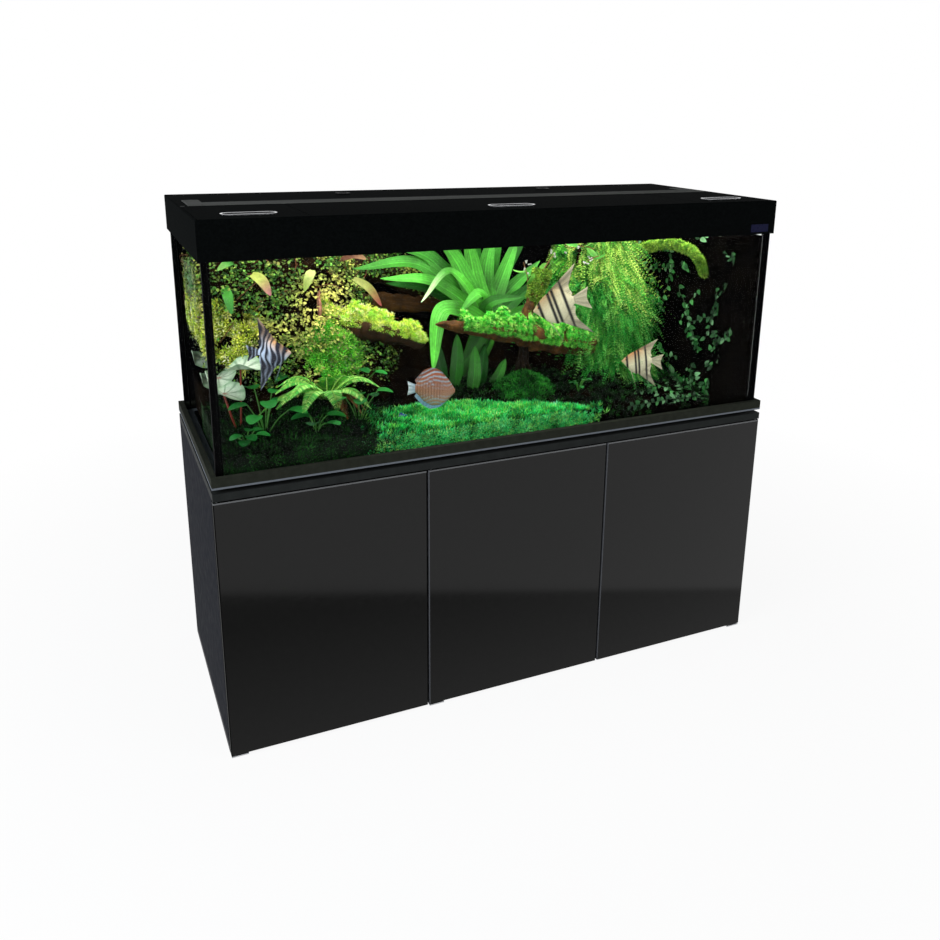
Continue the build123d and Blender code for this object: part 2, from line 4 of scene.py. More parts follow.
import bpy
import numpy as np
from mathutils import Matrix, Vector, noise


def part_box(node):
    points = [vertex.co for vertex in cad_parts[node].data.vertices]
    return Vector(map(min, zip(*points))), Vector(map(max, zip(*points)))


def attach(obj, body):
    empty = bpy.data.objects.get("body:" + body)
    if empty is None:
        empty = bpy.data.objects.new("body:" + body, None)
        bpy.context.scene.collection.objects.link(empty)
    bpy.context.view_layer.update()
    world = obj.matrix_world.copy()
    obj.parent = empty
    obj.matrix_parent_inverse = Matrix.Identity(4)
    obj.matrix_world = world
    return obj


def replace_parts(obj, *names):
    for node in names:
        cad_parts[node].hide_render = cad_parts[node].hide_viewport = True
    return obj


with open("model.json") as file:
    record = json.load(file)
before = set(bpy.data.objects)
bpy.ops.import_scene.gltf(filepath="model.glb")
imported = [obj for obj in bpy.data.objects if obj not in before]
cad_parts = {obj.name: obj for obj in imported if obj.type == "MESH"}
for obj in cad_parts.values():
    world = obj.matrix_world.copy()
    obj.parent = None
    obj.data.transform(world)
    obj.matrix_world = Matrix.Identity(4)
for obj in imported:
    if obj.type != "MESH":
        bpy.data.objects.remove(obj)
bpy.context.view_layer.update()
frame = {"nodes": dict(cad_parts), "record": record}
rng = np.random.default_rng(12)
TANK = "stand_and_tank"
UP = np.array((0.0, 0.0, 1.0))

# Inside of the tank, in metres: where plants may reach, the bed's top at front and rear, and the water
BED_CLEARANCE = 0.003
FRONT_DEPTH = 0.032
WATER_GAP = 0.003
bed_lo, bed_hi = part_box("planting_bed")
INNER_X = bed_hi.x - BED_CLEARANCE
INNER_Y = bed_hi.y - BED_CLEARANCE
GLASS_FLOOR = bed_lo.z
BED_FRONT = GLASS_FLOOR + FRONT_DEPTH
BED_REAR = bed_hi.z
WATER_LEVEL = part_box("hood_walls")[0].z - WATER_GAP

# Least gap from leaves to the glass and the water's surface, and from stems to the glass
LEAF_GAP = 0.004
STEM_GAP = 0.001

# Camera fitted to the photograph's corners
CAMERA_PLACE = (-0.97355, -2.22055, 1.49445)
CAMERA_YAW = 0.43267
CAMERA_PITCH = -0.278
CAMERA_ROLL = 0.01506
CAMERA_LENS = 35.128
CAMERA_SENSOR = 36.0
CAMERA_SHIFT = (-0.0229, -0.10547)

# Span that most of a noise lies in
NOISE_SPAN = (0.3, 0.7)

# Doors: where the outer left edge ends, the weak gloss of all edges, and the normals of left and front faces
OUTER_EDGE = -0.7
EDGE_GLOSS = 0.0004
# Faces turned left within the outer edge are painted pale, as light between the doors
LEFT_FACE = -0.3
FRONT_FACE = 0.94

# Turn from one leaf to the next round a stem
LEAF_TURN = 2.399963


# Colour
def tone(code):
    """Linear colour of a six-digit screen colour."""
    parts = [int(code[k:k + 2], 16) / 255 for k in (0, 2, 4)]
    return tuple(c / 12.92 if c <= 0.04045 else ((c + 0.055) / 1.055) ** 2.4 for c in parts)


def mixed(a, b, share):
    """Colours between a and b, one for each share."""
    share = np.asarray(share)[..., None]
    return np.asarray(a) * (1 - share) + np.asarray(b) * share


def varied(codes, count, spread=0.18):
    """One colour for each of many forms, from a few screen colours, with a spread of brightness."""
    palette = np.array([tone(code) for code in codes])
    picked = palette[rng.integers(0, len(palette), count)]
    return picked * rng.uniform(1 - spread, 1 + spread, (count, 1))


# Materials
def add_node(tree, kind, sockets=None, **settings):
    """New node with its settings, and its sockets set to values or linked to other nodes."""
    node = tree.nodes.new("ShaderNode" + kind)
    for name, value in settings.items():
        setattr(node, name, value)
    for key, value in (sockets or {}).items():
        if isinstance(value, bpy.types.NodeSocket):
            tree.links.new(value, node.inputs[key])
        else:
            node.inputs[key].default_value = value
    return node


def new_material(name):
    """Empty node material and its tree."""
    material = bpy.data.materials.new(name)
    material.use_nodes = True
    material.node_tree.nodes.clear()
    return material, material.node_tree


def show(tree, shader, kind="OutputMaterial"):
    """Shader carried to the output."""
    add_node(tree, kind, {0: shader.outputs[0]})


def noise_value(tree, scale, stretch=(1, 1, 1)):
    """Noise over the object's own coordinates."""
    place = add_node(tree, "TexCoord").outputs["Object"]
    turned = add_node(tree, "Mapping", {"Vector": place, "Scale": stretch}).outputs["Vector"]
    return add_node(tree, "TexNoise", {"Vector": turned, "Scale": scale, "Detail": 4.0}).outputs["Fac"]


def ramp_colour(tree, value, low, high):
    """Colour between two, along the usual span of a noise."""
    node = add_node(tree, "ValToRGB", {"Fac": value})
    for element, place, colour in zip(node.color_ramp.elements, NOISE_SPAN, (low, high)):
        element.position = place
        element.color = (*colour, 1)
    return node.outputs["Color"]


def range_value(tree, value, low, high, span=NOISE_SPAN, **settings):
    """A value over a span carried to low and high."""
    sockets = {"Value": value, "From Min": span[0], "From Max": span[1], "To Min": low, "To Max": high}
    return add_node(tree, "MapRange", sockets, **settings).outputs["Result"]


def bump_normal(tree, value, strength, distance):
    """Relief from a value."""
    sockets = {"Height": value, "Strength": strength, "Distance": distance}
    return add_node(tree, "Bump", sockets).outputs["Normal"]


def sum_value(tree, operation, *values):
    """Sum on values and constants."""
    return add_node(tree, "Math", dict(enumerate(values)), operation=operation).outputs[0]


def mixed_colour(tree, share, first, second, blend="MIX"):
    """One colour over another."""
    sockets = {"Factor": share, "A": first, "B": second}
    return add_node(tree, "Mix", sockets, data_type="RGBA", blend_type=blend).outputs["Result"]


def mixed_shader(tree, share, first, second):
    """Second shader over the first."""
    return add_node(tree, "MixShader", {0: share, 1: first.outputs[0], 2: second.outputs[0]})


def finish(name, code, rough, spread=0.2, metal=0.0, gloss=0.5, grain=120.0, relief=0.1,
           stretch=(1, 1, 1)):
    """Moulded, lacquered or brushed surface with a fine grain in colour, gloss and relief."""
    material, tree = new_material(name)
    colour = np.array(tone(code))
    pale = np.minimum(colour * (1 + spread), 1)
    grains = noise_value(tree, grain, stretch)
    show(tree, add_node(tree, "BsdfPrincipled", {
        "Base Color": ramp_colour(tree, grains, colour * (1 - spread), pale),
        "Roughness": range_value(tree, grains, rough * 0.85, min(rough * 1.15, 1)),
        "Normal": bump_normal(tree, grains, relief, 0.0004),
        "Metallic": metal,
        "Specular IOR Level": gloss,
    }))
    return material


def painted_highlight_finish(name, code, highlight_code, heights, rough, tint=1.0, gloss=0.5, edge_code=None):
    """Lacquered board with a painted highlight: a pale line between two heights. A door has dull edges, and
    painted light between doors, where its faces turned left are pale.
    """
    material, tree = new_material(name)
    colour = np.array(tone(code))
    grains = noise_value(tree, 60.0)
    place = add_node(tree, "TexCoord")
    spot = add_node(tree, "SeparateXYZ", {0: place.outputs["Object"]})
    # Painted highlight: a pale line between the two heights, in the highlight colour
    highlight_band = sum_value(tree, "COMPARE", spot.outputs["Z"], sum(heights) / 2, (heights[1] - heights[0]) / 2)
    top = ramp_colour(tree, grains, colour * 0.85, colour * 1.15)
    top = mixed_colour(tree, highlight_band, top, (*tone(highlight_code), 1))
    if edge_code:
        # Painted light: faces turned left, within the outer edge, take the pale edge colour
        normal = add_node(tree, "SeparateXYZ", {0: place.outputs["Normal"]})
        left = sum_value(tree, "LESS_THAN", normal.outputs["X"], LEFT_FACE)
        within = sum_value(tree, "GREATER_THAN", spot.outputs["X"], OUTER_EDGE)
        between = sum_value(tree, "MULTIPLY", left, within)
        top = mixed_colour(tree, between, top, (*tone(edge_code), 1))
        facing = sum_value(tree, "ABSOLUTE", normal.outputs["Y"])
        front = sum_value(tree, "GREATER_THAN", facing, FRONT_FACE)
        gloss = sum_value(tree, "MULTIPLY_ADD", front, gloss, EDGE_GLOSS)
    show(tree, add_node(tree, "BsdfPrincipled", {
        "Base Color": top,
        "Roughness": range_value(tree, grains, rough * 0.8, rough * 1.2),
        "Specular IOR Level": gloss,
        "Specular Tint": (tint, tint, tint, 1),
    }))
    return material


def glass_finish(name, edge_code, mirror):
    """Clear plate: see-through with a weak mirror gloss, and a green tinge."""
    material, tree = new_material(name)
    colour = np.array(tone(edge_code))
    tint = ramp_colour(tree, noise_value(tree, 3.0), colour, np.sqrt(colour))
    clear = add_node(tree, "BsdfTransparent", {"Color": tint})
    gloss = add_node(tree, "BsdfGlossy", {"Roughness": 0.02})
    show(tree, mixed_shader(tree, mirror, clear, gloss))
    return material


def living_finish(name, rough, specular, grain, spread, relief):
    """Leaf, moss, earth, bark or fish: its own tint, mottled, with a fine relief."""
    material, tree = new_material(name)
    grains = noise_value(tree, grain)
    tint = add_node(tree, "Attribute", attribute_name="tint").outputs["Color"]
    mottle = ramp_colour(tree, grains, (1 - spread,) * 3, (1 + spread,) * 3)
    show(tree, add_node(tree, "BsdfPrincipled", {
        "Base Color": mixed_colour(tree, 1.0, tint, mottle, "MULTIPLY"),
        "Roughness": range_value(tree, grains, rough * 0.85, min(rough * 1.15, 1)),
        "Normal": bump_normal(tree, grains, relief, 0.002),
        "Specular IOR Level": specular,
    }))
    return material


# Materials of the CAD nodes, by the slot that the record gives each node
SLOT_FINISH = {
    # Doors: a painted highlight line near the top edge, and painted light on the faces between them
    "door_gloss": painted_highlight_finish("door_gloss", "0a0a09", "606162", (0.6550, 0.6585), 0.1, 0.5,
                                edge_code="56575a"),
    # Painted light: the boards' blue tint stands for the cool light on the left side, and the top board
    # takes a lighter, neutral copy
    "stand_board": finish("stand_board", "17191f", 0.35, 0.12, gloss=0.0004, grain=40, relief=0.04),
    "stand_board_painted_light": finish("stand_board_painted_light", "282a29", 0.35, 0.12, gloss=0.002, grain=40, relief=0.04),
    "inner_board": finish("inner_board", "232326", 0.6, 0.2, gloss=0.2, grain=300),
    "dowel": finish("dowel", "b08a55", 0.6, 0.3, grain=60, stretch=(1, 1, 0.1)),
    "steel": finish("steel", "b4b6b8", 0.35, 0.15, metal=1.0, grain=300),
    "black_plastic": finish("black_plastic", "131314", 0.45, 0.25, gloss=0.01, grain=500, relief=0.3),
    "soft_black": finish("soft_black", "060607", 0.6, 0.3, gloss=0.002, grain=250, relief=0.2),
    "glass": glass_finish("glass", "fafcfb", 0.0015),
    # Trim: a painted highlight line along its lower edge
    "trim": painted_highlight_finish("trim", "292b25", "696e74", (0.6900, 0.6945), 0.35, gloss=0.0004),
    "hood_black": finish("hood_black", "090b0b", 0.35, 0.3, gloss=0.00004, grain=220, relief=0.05),
    "rail_grey": finish("rail_grey", "5a5b58", 0.5, 0.2, gloss=0.0002, grain=180, stretch=(0.02, 1, 1)),
    "pull_chrome": finish("pull_chrome", "c9cbcf", 0.2, 0.1, metal=1.0, grain=150),
    "badge": finish("badge", "12142e", 0.3, 0.2, gloss=0.05, grain=200),
    "lamp_housing": finish("lamp_housing", "9a9c9e", 0.35, 0.15, metal=1.0, grain=200,
                           stretch=(0.05, 1, 1)),
    "lamp_board": finish("lamp_board", "e6e6e0", 0.4, 0.06, grain=200),
    "lamp_lens": finish("lamp_lens", "e8eef2", 0.25, 0.05, grain=90),
    "sponge": finish("sponge", "1f2428", 0.95, 0.6, grain=240, relief=1.0),
}
for subpart in frame["record"]["subparts"]:
    node = subpart["node"]
    surface = SLOT_FINISH.get("stand_board_painted_light" if node == "stand_top" else subpart["material_slot"])
    if surface:
        mesh = frame["nodes"][node].data
        mesh.materials.clear()
        mesh.materials.append(surface)

# Narrow rounded edges on what shows
EDGE_ROUND = {
    "door_left": 0.0016, "door_middle": 0.0016, "door_right": 0.0016,
    "stand_top": 0.001, "stand_sides": 0.001, "base_trim": 0.001,
    "hood_walls": 0.0015, "hood_deck": 0.001, "hinge_rail": 0.0008, "hinge_blocks": 0.0012,
    "lid_left": 0.0008, "lid_centre": 0.0008, "lid_right": 0.0008, "badge_plate": 0.0004,
}
for node, radius in EDGE_ROUND.items():
    rounding = frame["nodes"][node].modifiers.new("edges", "BEVEL")
    rounding.width = radius
    rounding.segments = 2
    rounding.limit_method = "ANGLE"
    rounding.angle_limit = math.radians(40)

FOLIAGE = living_finish("foliage", 0.42, 0.4, 140.0, 0.18, 0.2)
MOSS = living_finish("moss", 0.75, 0.2, 220.0, 0.3, 0.4)
EARTH = living_finish("earth", 0.9, 0.01, 160.0, 0.6, 1.0)
BARK = living_finish("bark", 0.8, 0.25, 70.0, 0.5, 1.0)
SCALES = living_finish("scales", 0.3, 0.5, 420.0, 0.12, 0.25)
RUBBER = living_finish("rubber", 0.6, 0.02, 300.0, 0.2, 0.2)


# Mesh building
def grid_quads(rows, columns, wrap=False):
    """Faces of a grid of points, closed round its columns if it wraps."""
    r = np.arange(rows - 1)[:, None]
    c = np.arange(columns if wrap else columns - 1)[None, :]
    after = (c + 1) % columns
    corners = (r * columns + c, r * columns + after, (r + 1) * columns + after, (r + 1) * columns + c)
    return np.stack(np.broadcast_arrays(*corners), axis=-1).reshape(-1, 4)


class Growth:
    """Forms gathered into one mesh of four-sided faces, with a tint on each point."""

    def __init__(self):
        self.points, self.quads, self.tints = [], [], []
        self.total = 0

    def add(self, points, quads, tints):
        """One more form, with one tint or a tint for each point."""
        points = np.asarray(points, float).reshape(-1, 3)
        self.points.append(points)
        self.quads.append(np.asarray(quads) + self.total)
        self.tints.append(np.broadcast_to(tints, points.shape))
        self.total += len(points)

    def piece(self, name, material=FOLIAGE, slot="leaf", smooth=True):
        """The forms as one object that rides on the tank."""
        points = np.concatenate(self.points)
        quads = np.concatenate(self.quads)
        colours = np.ones((len(points), 4))
        colours[:, :3] = np.clip(np.concatenate(self.tints), 0, 1)
        mesh = bpy.data.meshes.new(name)
        mesh.vertices.add(len(points))
        mesh.vertices.foreach_set("co", points.ravel())
        mesh.loops.add(quads.size)
        mesh.loops.foreach_set("vertex_index", quads.ravel().astype(np.int32))
        mesh.polygons.add(len(quads))
        mesh.polygons.foreach_set("loop_start", np.arange(0, quads.size, 4, dtype=np.int32))
        mesh.polygons.foreach_set("use_smooth", np.full(len(quads), smooth))
        mesh.update(calc_edges=True)
        mesh.validate()
        attribute = mesh.attributes.new("tint", "FLOAT_COLOR", "POINT")
        attribute.data.foreach_set("color", colours.ravel())
        mesh.materials.append(material)
        thing = bpy.data.objects.new(name, mesh)
        bpy.context.scene.collection.objects.link(thing)
        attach(thing, TANK)
        return thing


def unit(vectors):
    """The same directions, each of length one."""
    vectors = np.asarray(vectors, float)
    return vectors / np.maximum(np.linalg.norm(vectors, axis=-1, keepdims=True), 1e-9)


def smooth_path(points, count):
    """Evenly stepped points on a smooth line through a few."""
    points = np.asarray(points, float)
    padded = np.concatenate((2 * points[:1] - points[1:2], points, 2 * points[-1:] - points[-2:-1]))
    steps = np.linspace(0, len(points) - 1 - 1e-6, count)
    k = steps.astype(int)
    t = (steps - k)[:, None]
    a, b, c, d = padded[k], padded[k + 1], padded[k + 2], padded[k + 3]
    return 0.5 * (2 * b + (c - a) * t + (2 * a - 5 * b + 4 * c - d) * t**2 + (3 * b - a - 3 * c + d) * t**3)


def inside(points, margin=LEAF_GAP):
    """The same points kept off the glass."""
    low = (-INNER_X + margin, -INNER_Y + margin, GLASS_FLOOR)
    high = (INNER_X - margin, INNER_Y - margin, WATER_LEVEL - LEAF_GAP)
    return np.clip(points, low, high)


def bent_path(foot, tip, bend, count):
    """Smooth line from foot to tip, its middle moved by a bend."""
    foot, tip = np.array(foot), np.array(tip)
    return smooth_path((foot, (foot + tip) / 2 + bend, tip), count)


def ribbon(growth, path, width, face, tints, fold, columns=5):
    """Long leaf along a line: width at each step, facing roughly a given way, folded at its rib."""
    along = unit(np.gradient(path, axis=0))
    across = unit(np.cross(along, face))
    lift = np.cross(across, along)
    v = np.linspace(-1, 1, columns)[None, :, None]
    width = width[:, None, None]
    points = path[:, None] + across[:, None] * (v * width)
    points = points + lift[:, None] * (np.asarray(fold)[..., None] * np.abs(v) * width)
    growth.add(inside(points), grid_quads(len(path), columns), tints.reshape(-1, 3))


def circle(count):
    """Even angles round a circle."""
    return np.linspace(0, 2 * math.pi, count, endpoint=False)


def rings(along, helper, sides):
    """Circle of directions round each step of a line."""
    first = unit(np.cross(along, helper))
    second = np.cross(along, first)
    turn = circle(sides)[None, :, None]
    return first[:, None] * np.cos(turn) + second[:, None] * np.sin(turn)


def tube(growth, path, radius, code, sides):
    """Round thin stem along a line, of one radius or a radius at each step."""
    along = unit(np.gradient(path, axis=0))
    helper = np.where(np.abs(along[:, 2:3]) > 0.9, (1.0, 0, 0), (0, 0, 1.0))
    points = path[:, None] + rings(along, helper, sides) * np.reshape(radius, (-1, 1, 1))
    growth.add(inside(points, STEM_GAP), grid_quads(len(path), sides, wrap=True), np.array(tone(code)))


# Ready forms: points along +Y with a half width of one in X, faces and a painted shade for each point
def oval_leaf(rows, fullness, fold, droop, heart=0.0):
    """Oval or heart-shaped leaf of three points across."""
    across = np.array((-1, 0, 1))
    t = np.linspace(0, 1, rows)[:, None]
    half = np.sin(math.pi * (0.06 + 0.92 * t ** (1 - 0.5 * heart))) ** fullness
    points = np.zeros((rows, 3, 3))
    points[:, :, 0] = half * across
    points[:, :, 1] = t - heart * 0.15 * np.abs(across) * (1 - t)
    points[:, :, 2] = -droop * t**2 + fold * half * np.abs(across) * 0.3
    # Painted shade: darker at the foot and along the folded rib
    painted_shade = (0.75 + 0.4 * t) * np.array((1.05, 0.85, 1.05))
    return points.reshape(-1, 3), grid_quads(rows, 3), painted_shade.ravel()


def kite_tuft(blades, lean, width):
    """Small star of pointed blades, one face each."""
    turn = np.arange(blades) * LEAF_TURN
    tilt = lean * np.sqrt((np.arange(blades) + 0.5) / blades)
    out = np.stack((np.cos(turn) * np.sin(tilt), np.cos(tilt), np.sin(turn) * np.sin(tilt)), 1)
    side = np.stack((-np.sin(turn), np.zeros(blades), np.cos(turn)), 1) * width
    points = np.stack((out * 0.02, out * 0.5 - side, out, out * 0.5 + side), 1).reshape(-1, 3)
    # Painted shade at the root of each blade, and a painted highlight at its tip
    painted_shade = np.tile((0.35, 0.85, 1.25, 0.85), blades)
    return points, np.arange(4 * blades).reshape(-1, 4), painted_shade


def scatter(growth, form, roots, along, face, length, width, tints):
    """Copies of a form at many roots, each pointing along its way and turned to its face."""
    points, quads, painted_shade = form
    along = unit(along)
    across = unit(np.cross(along, face))
    lift = np.cross(across, along)
    length = np.reshape(length, (-1, 1, 1))
    width = np.reshape(width, (-1, 1, 1))
    spots = roots[:, None] + across[:, None] * (points[None, :, :1] * width)
    spots = spots + along[:, None] * (points[None, :, 1:2] * length)
    spots = spots + lift[:, None] * (points[None, :, 2:] * length)
    faces = quads[None] + (np.arange(len(roots)) * len(points))[:, None, None]
    colours = tints[:, None] * painted_shade[None, :, None]
    growth.add(inside(spots.reshape(-1, 3)), faces.reshape(-1, 4), colours.reshape(-1, 3))


def tufts(growth, form, roots, normals, size, tints):
    """Stars of moss standing on a surface, turned at random."""
    spin = rng.normal(size=roots.shape)
    scatter(growth, form, roots, normals + 0.35 * rng.normal(size=roots.shape), spin, size, size, tints)


# Ground
def bed_height(y):
    """Top of the planting bed at a depth."""
    return BED_FRONT + (np.asarray(y) + INNER_Y) / (2 * INNER_Y) * (BED_REAR - BED_FRONT)


def rough(points, scale, depth, seed):
    """Fractal offset for each point."""
    shift = Vector((seed * 7.3, seed * 3.1, seed * 5.7))
    return np.array([depth * noise.fractal(Vector(p) * scale + shift, 1.0, 2.0, 4) for p in points])


def layers_of(points, layers, seed):
    """Fractal offset in several layers, each a scale and a depth."""
    return sum(rough(points, scale, depth, seed + k) for k, (scale, depth) in enumerate(layers))


def ramp(values, start, end):
    """Share from 0 at start to 1 at end."""
    return np.clip((np.asarray(values) - start) / (end - start), 0, 1)


class Ground:
    """A rough surface that plants grow on."""

    def __init__(self, points, rows, columns, wrap=False):
        self.points = points
        self.quads = grid_quads(rows, columns, wrap)
        self.corners = points[self.quads]
        cross = np.cross(self.corners[:, 2] - self.corners[:, 0], self.corners[:, 3] - self.corners[:, 1])
        self.area = np.linalg.norm(cross, axis=1) / 2
        self.normals = unit(cross)
        self.centres = self.corners.mean(axis=1)

    def spots(self, count, share):
        """Random places on the surface, by area and by the share wanted on each face, with their normals."""
        weight = self.area * (share + 1e-6)
        picked = rng.choice(len(weight), count, p=weight / weight.sum())
        u, v = rng.uniform(size=(2, count, 1))
        a, b, c, d = (self.corners[picked, k] for k in range(4))
        places = (a * (1 - u) + b * u) * (1 - v) + (d * (1 - u) + c * u) * v
        return places, self.normals[picked]

    def patches(self, scale, seed, level):
        """Patchy share, from 0 to 1, for each face."""
        return np.clip(0.5 + 5 * (rough(self.centres, scale, 0.5, seed) - level), 0, 1)


# Layers of roughness, each a scale and a depth
HILL_LAYERS = ((9.0, 0.03), (40.0, 0.010))
BED_LAYERS = ((12.0, 0.010), (60.0, 0.003))

# Distance from the end glass over which a hill's roughness grows to its full depth
CALM_REACH = 0.08

# The bed's gap to the glass, and its hummocks: x, y, height and width
BED_GAP = 0.012
HUMMOCKS = ((-0.455, -0.165, 0.075, 0.11), (0.100, -0.095, 0.045, 0.06), (0.340, -0.120, 0.035, 0.12))


def hill(sections, seed, levels=34, sides=120, square=1.0, crown=0.03, margin=0.014):
    """Rounded heap through oval sections given as x, y, z and two radii, roughened and closed on top."""
    line = smooth_path(sections, levels)
    x, y, z, rx, ry = line[-1]
    for angle in np.linspace(0, math.pi / 2, 9)[1:]:
        shrink = max(math.cos(angle), 0.02)
        line = np.append(line, [(x, y, z + crown * math.sin(angle), rx * shrink, ry * shrink)], axis=0)
    turn = circle(sides)
    c, s = (np.sign(w) * np.abs(w) ** square for w in (np.cos(turn), np.sin(turn)))
    points = np.zeros((len(line), sides, 3))
    points[:, :, 0] = line[:, 0:1] + line[:, 3:4] * c
    points[:, :, 1] = line[:, 1:2] + line[:, 4:5] * s
    points[:, :, 2] = line[:, 2:3]
    flat = points.reshape(-1, 3)
    out = unit(flat - np.repeat(line[:, :3], sides, axis=0) + 0.08 * UP)
    relief = layers_of(flat, HILL_LAYERS, seed)
    flat = inside(flat, margin)
    relief = relief * np.maximum(ramp(INNER_X - np.abs(flat[:, 0]), margin, CALM_REACH), 0.1)
    return Ground(inside(flat + out * relief[:, None], min(margin, 0.003)), len(line), sides, wrap=True)


def bed_ground():
    """Planting bed down to the glass on all sides, with hummocks on its slope."""
    x = np.linspace(BED_GAP - INNER_X, INNER_X - BED_GAP, 200)
    y = np.linspace(BED_GAP - INNER_Y, INNER_Y - BED_GAP, 78)
    x, y = np.meshgrid(np.r_[x[0], x, x[-1]], np.r_[y[0], y, y[-1]])
    z = bed_height(y)
    for along, deep, height, wide in HUMMOCKS:
        z = z + height * np.exp(-(((x - along) / wide) ** 2 + ((y - deep) / (0.7 * wide)) ** 2))
    points = np.stack((x, y, z), -1)
    flat = points.reshape(-1, 3)
    flat[:, 2] += layers_of(flat, BED_LAYERS, 2)
    edge = np.ones(z.shape, bool)
    edge[1:-1, 1:-1] = False
    flat[edge.ravel(), 2] = GLASS_FLOOR + 0.0005
    return Ground(flat, *z.shape)


bed = bed_ground()
left_hill = hill(
    (
        (-0.440, 0.060, 0.706, 0.190, 0.215),
        (-0.440, 0.070, 0.790, 0.190, 0.205),
        (-0.465, 0.085, 0.880, 0.195, 0.195),
        (-0.535, 0.110, 0.980, 0.225, 0.170),
        (-0.545, 0.140, 1.110, 0.205, 0.140),
    ), 5, square=0.55, margin=0.018)
right_hill = hill(
    (
        (0.420, 0.070, 0.706, 0.210, 0.190),
        (0.430, 0.090, 0.850, 0.185, 0.165),
        (0.450, 0.110, 0.990, 0.155, 0.145),
        (0.460, 0.130, 1.115, 0.125, 0.115),
    ), 8)
ridge_hill = hill(
    (
        (-0.020, 0.185, 0.706, 0.225, 0.080),
        (-0.030, 0.195, 0.800, 0.195, 0.070),
        (-0.040, 0.205, 0.875, 0.145, 0.056),
    ), 11, levels=16)
wall_hill = hill(
    (
        (0.690, -0.005, 0.706, 0.110, 0.310),
        (0.692, 0.000, 0.900, 0.106, 0.310),
        (0.695, 0.002, 1.060, 0.100, 0.310),
        (0.698, 0.005, 1.176, 0.096, 0.305),
    ), 3, square=0.4, crown=0.002, margin=-0.0015)


def earth_piece(name, grounds, node, slot, codes):
    """Bare earth under the plants, in patches of two colours."""
    growth = Growth()
    for ground in grounds:
        share = np.clip(0.4 + 0.9 * rough(ground.points, 14.0, 1.0, 31), 0, 1)
        growth.add(ground.points, ground.quads, mixed(tone(codes[0]), tone(codes[1]), share))
    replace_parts(growth.piece(name, EARTH, slot), node)


earth_piece("bed_soil", (bed,), "planting_bed", "bed", ("030202", "140e08"))
earth_piece("hill_ground", (left_hill, right_hill, ridge_hill), "stone_hills", "stone",
            ("040302", "1e140a"))
earth_piece("wall_ground", (wall_hill,), "end_wall", "earth", ("010101", "080604"))

STAR = kite_tuft(7, 1.25, 0.13)
SPRIG = kite_tuft(7, 0.9, 0.11)
BLADE = kite_tuft(1, 0.0, 0.13)
ROUND_LEAF = oval_leaf(3, 0.5, 0.3, 0.2)
HEART_LEAF = oval_leaf(5, 0.7, 0.25, 0.25, heart=0.7)
LONG_LEAF = oval_leaf(9, 0.55, 0.3, 0.35)


def moss(name, beds, form=STAR, material=MOSS, upward=0.0, bright=1.0):
    """Tufts over surfaces. A bed is a ground, a count, the share on each face, colours and two sizes."""
    growth = Growth()
    for ground, count, share, codes, small, large in beds:
        roots, normals = ground.spots(count, share)
        heap = 0.35 * large
        lift = rng.uniform(0, heap, (count, 1))
        size = rng.uniform(small, large, count)
        clumps = np.clip(0.95 + 0.8 * rough(roots, 24.0, 1.0, 45), 0.4, 1.6)[:, None]
        # Painted shade: tufts lower in the heap are darker. bright lifts all colours, partly as painted
        # light where the lamps leave the moss dim
        tints = varied(codes, count, 0.35) * bright * clumps * (0.3 + 0.9 * lift / heap)
        tufts(growth, form, roots + normals * lift, normals + upward * UP, size, tints)
    growth.piece(name, material)


def carpet_rear(x):
    """Depth at which the carpet ends, nearer the glass towards both sides."""
    return -0.130 - 0.32 * np.clip(x + 0.18, 0, 1) - 0.25 * np.clip(-0.18 - x, 0, 1)


def carpet():
    """Fine bright green plants over the middle of the bed, down to the front glass."""
    x, y, _ = bed.centres.T
    rear = carpet_rear(x)
    middle = ramp(x, -0.42, -0.26) ** 2 * ramp(x, 0.31, 0.12) ** 2
    share = middle * ramp(y, rear + 0.02, rear - 0.01) * bed.patches(7.0, seed=21, level=-0.42)
    greens = ("24a84a", "32c45c", "52da70", "188a3a", "86e45c")
    moss("carpet", ((bed, 10500, share, greens, 0.009, 0.020),), SPRIG, FOLIAGE, 1.0, 1.6)


def dark_moss_with_painted_shade():
    """Dark feathery moss at the left of the bed, under the log and along the foot of the wall, its
    near-black greens partly painted shade.
    """
    x, y, _ = bed.centres.T
    rear = carpet_rear(x)
    patches = bed.patches(9.0, seed=22, level=-0.2)
    left = ramp(x, -0.25, -0.40) * ramp(y, 0.08, -0.02) * (0.25 + patches)
    right = ramp(x, 0.48, 0.58) * ramp(y, 0.0, -0.1) * patches
    middle = ramp(x, -0.24, -0.14) * ramp(x, 0.42, 0.34)
    behind = middle * ramp(y, rear, rear + 0.03) * ramp(y, 0.06, 0.0) * patches
    bush = ramp(np.hypot(x - 0.10, y + 0.10), 0.085, 0.06)
    # Near-black greens, partly painted shade where the moss lies in the shade of the hills and the log
    deep = ("060f07", "0a1f0c", "133412", "1d4a19", "040904")
    moss("dark_moss_with_painted_shade", (
        (bed, 5600, left, deep, 0.010, 0.022),
        (bed, 900, right, deep, 0.008, 0.018),
        (bed, 1500, behind, deep, 0.007, 0.016),
        (bed, 1300, bush, ("237a26", "3c9c34", "1a5a20"), 0.007, 0.015),
    ))


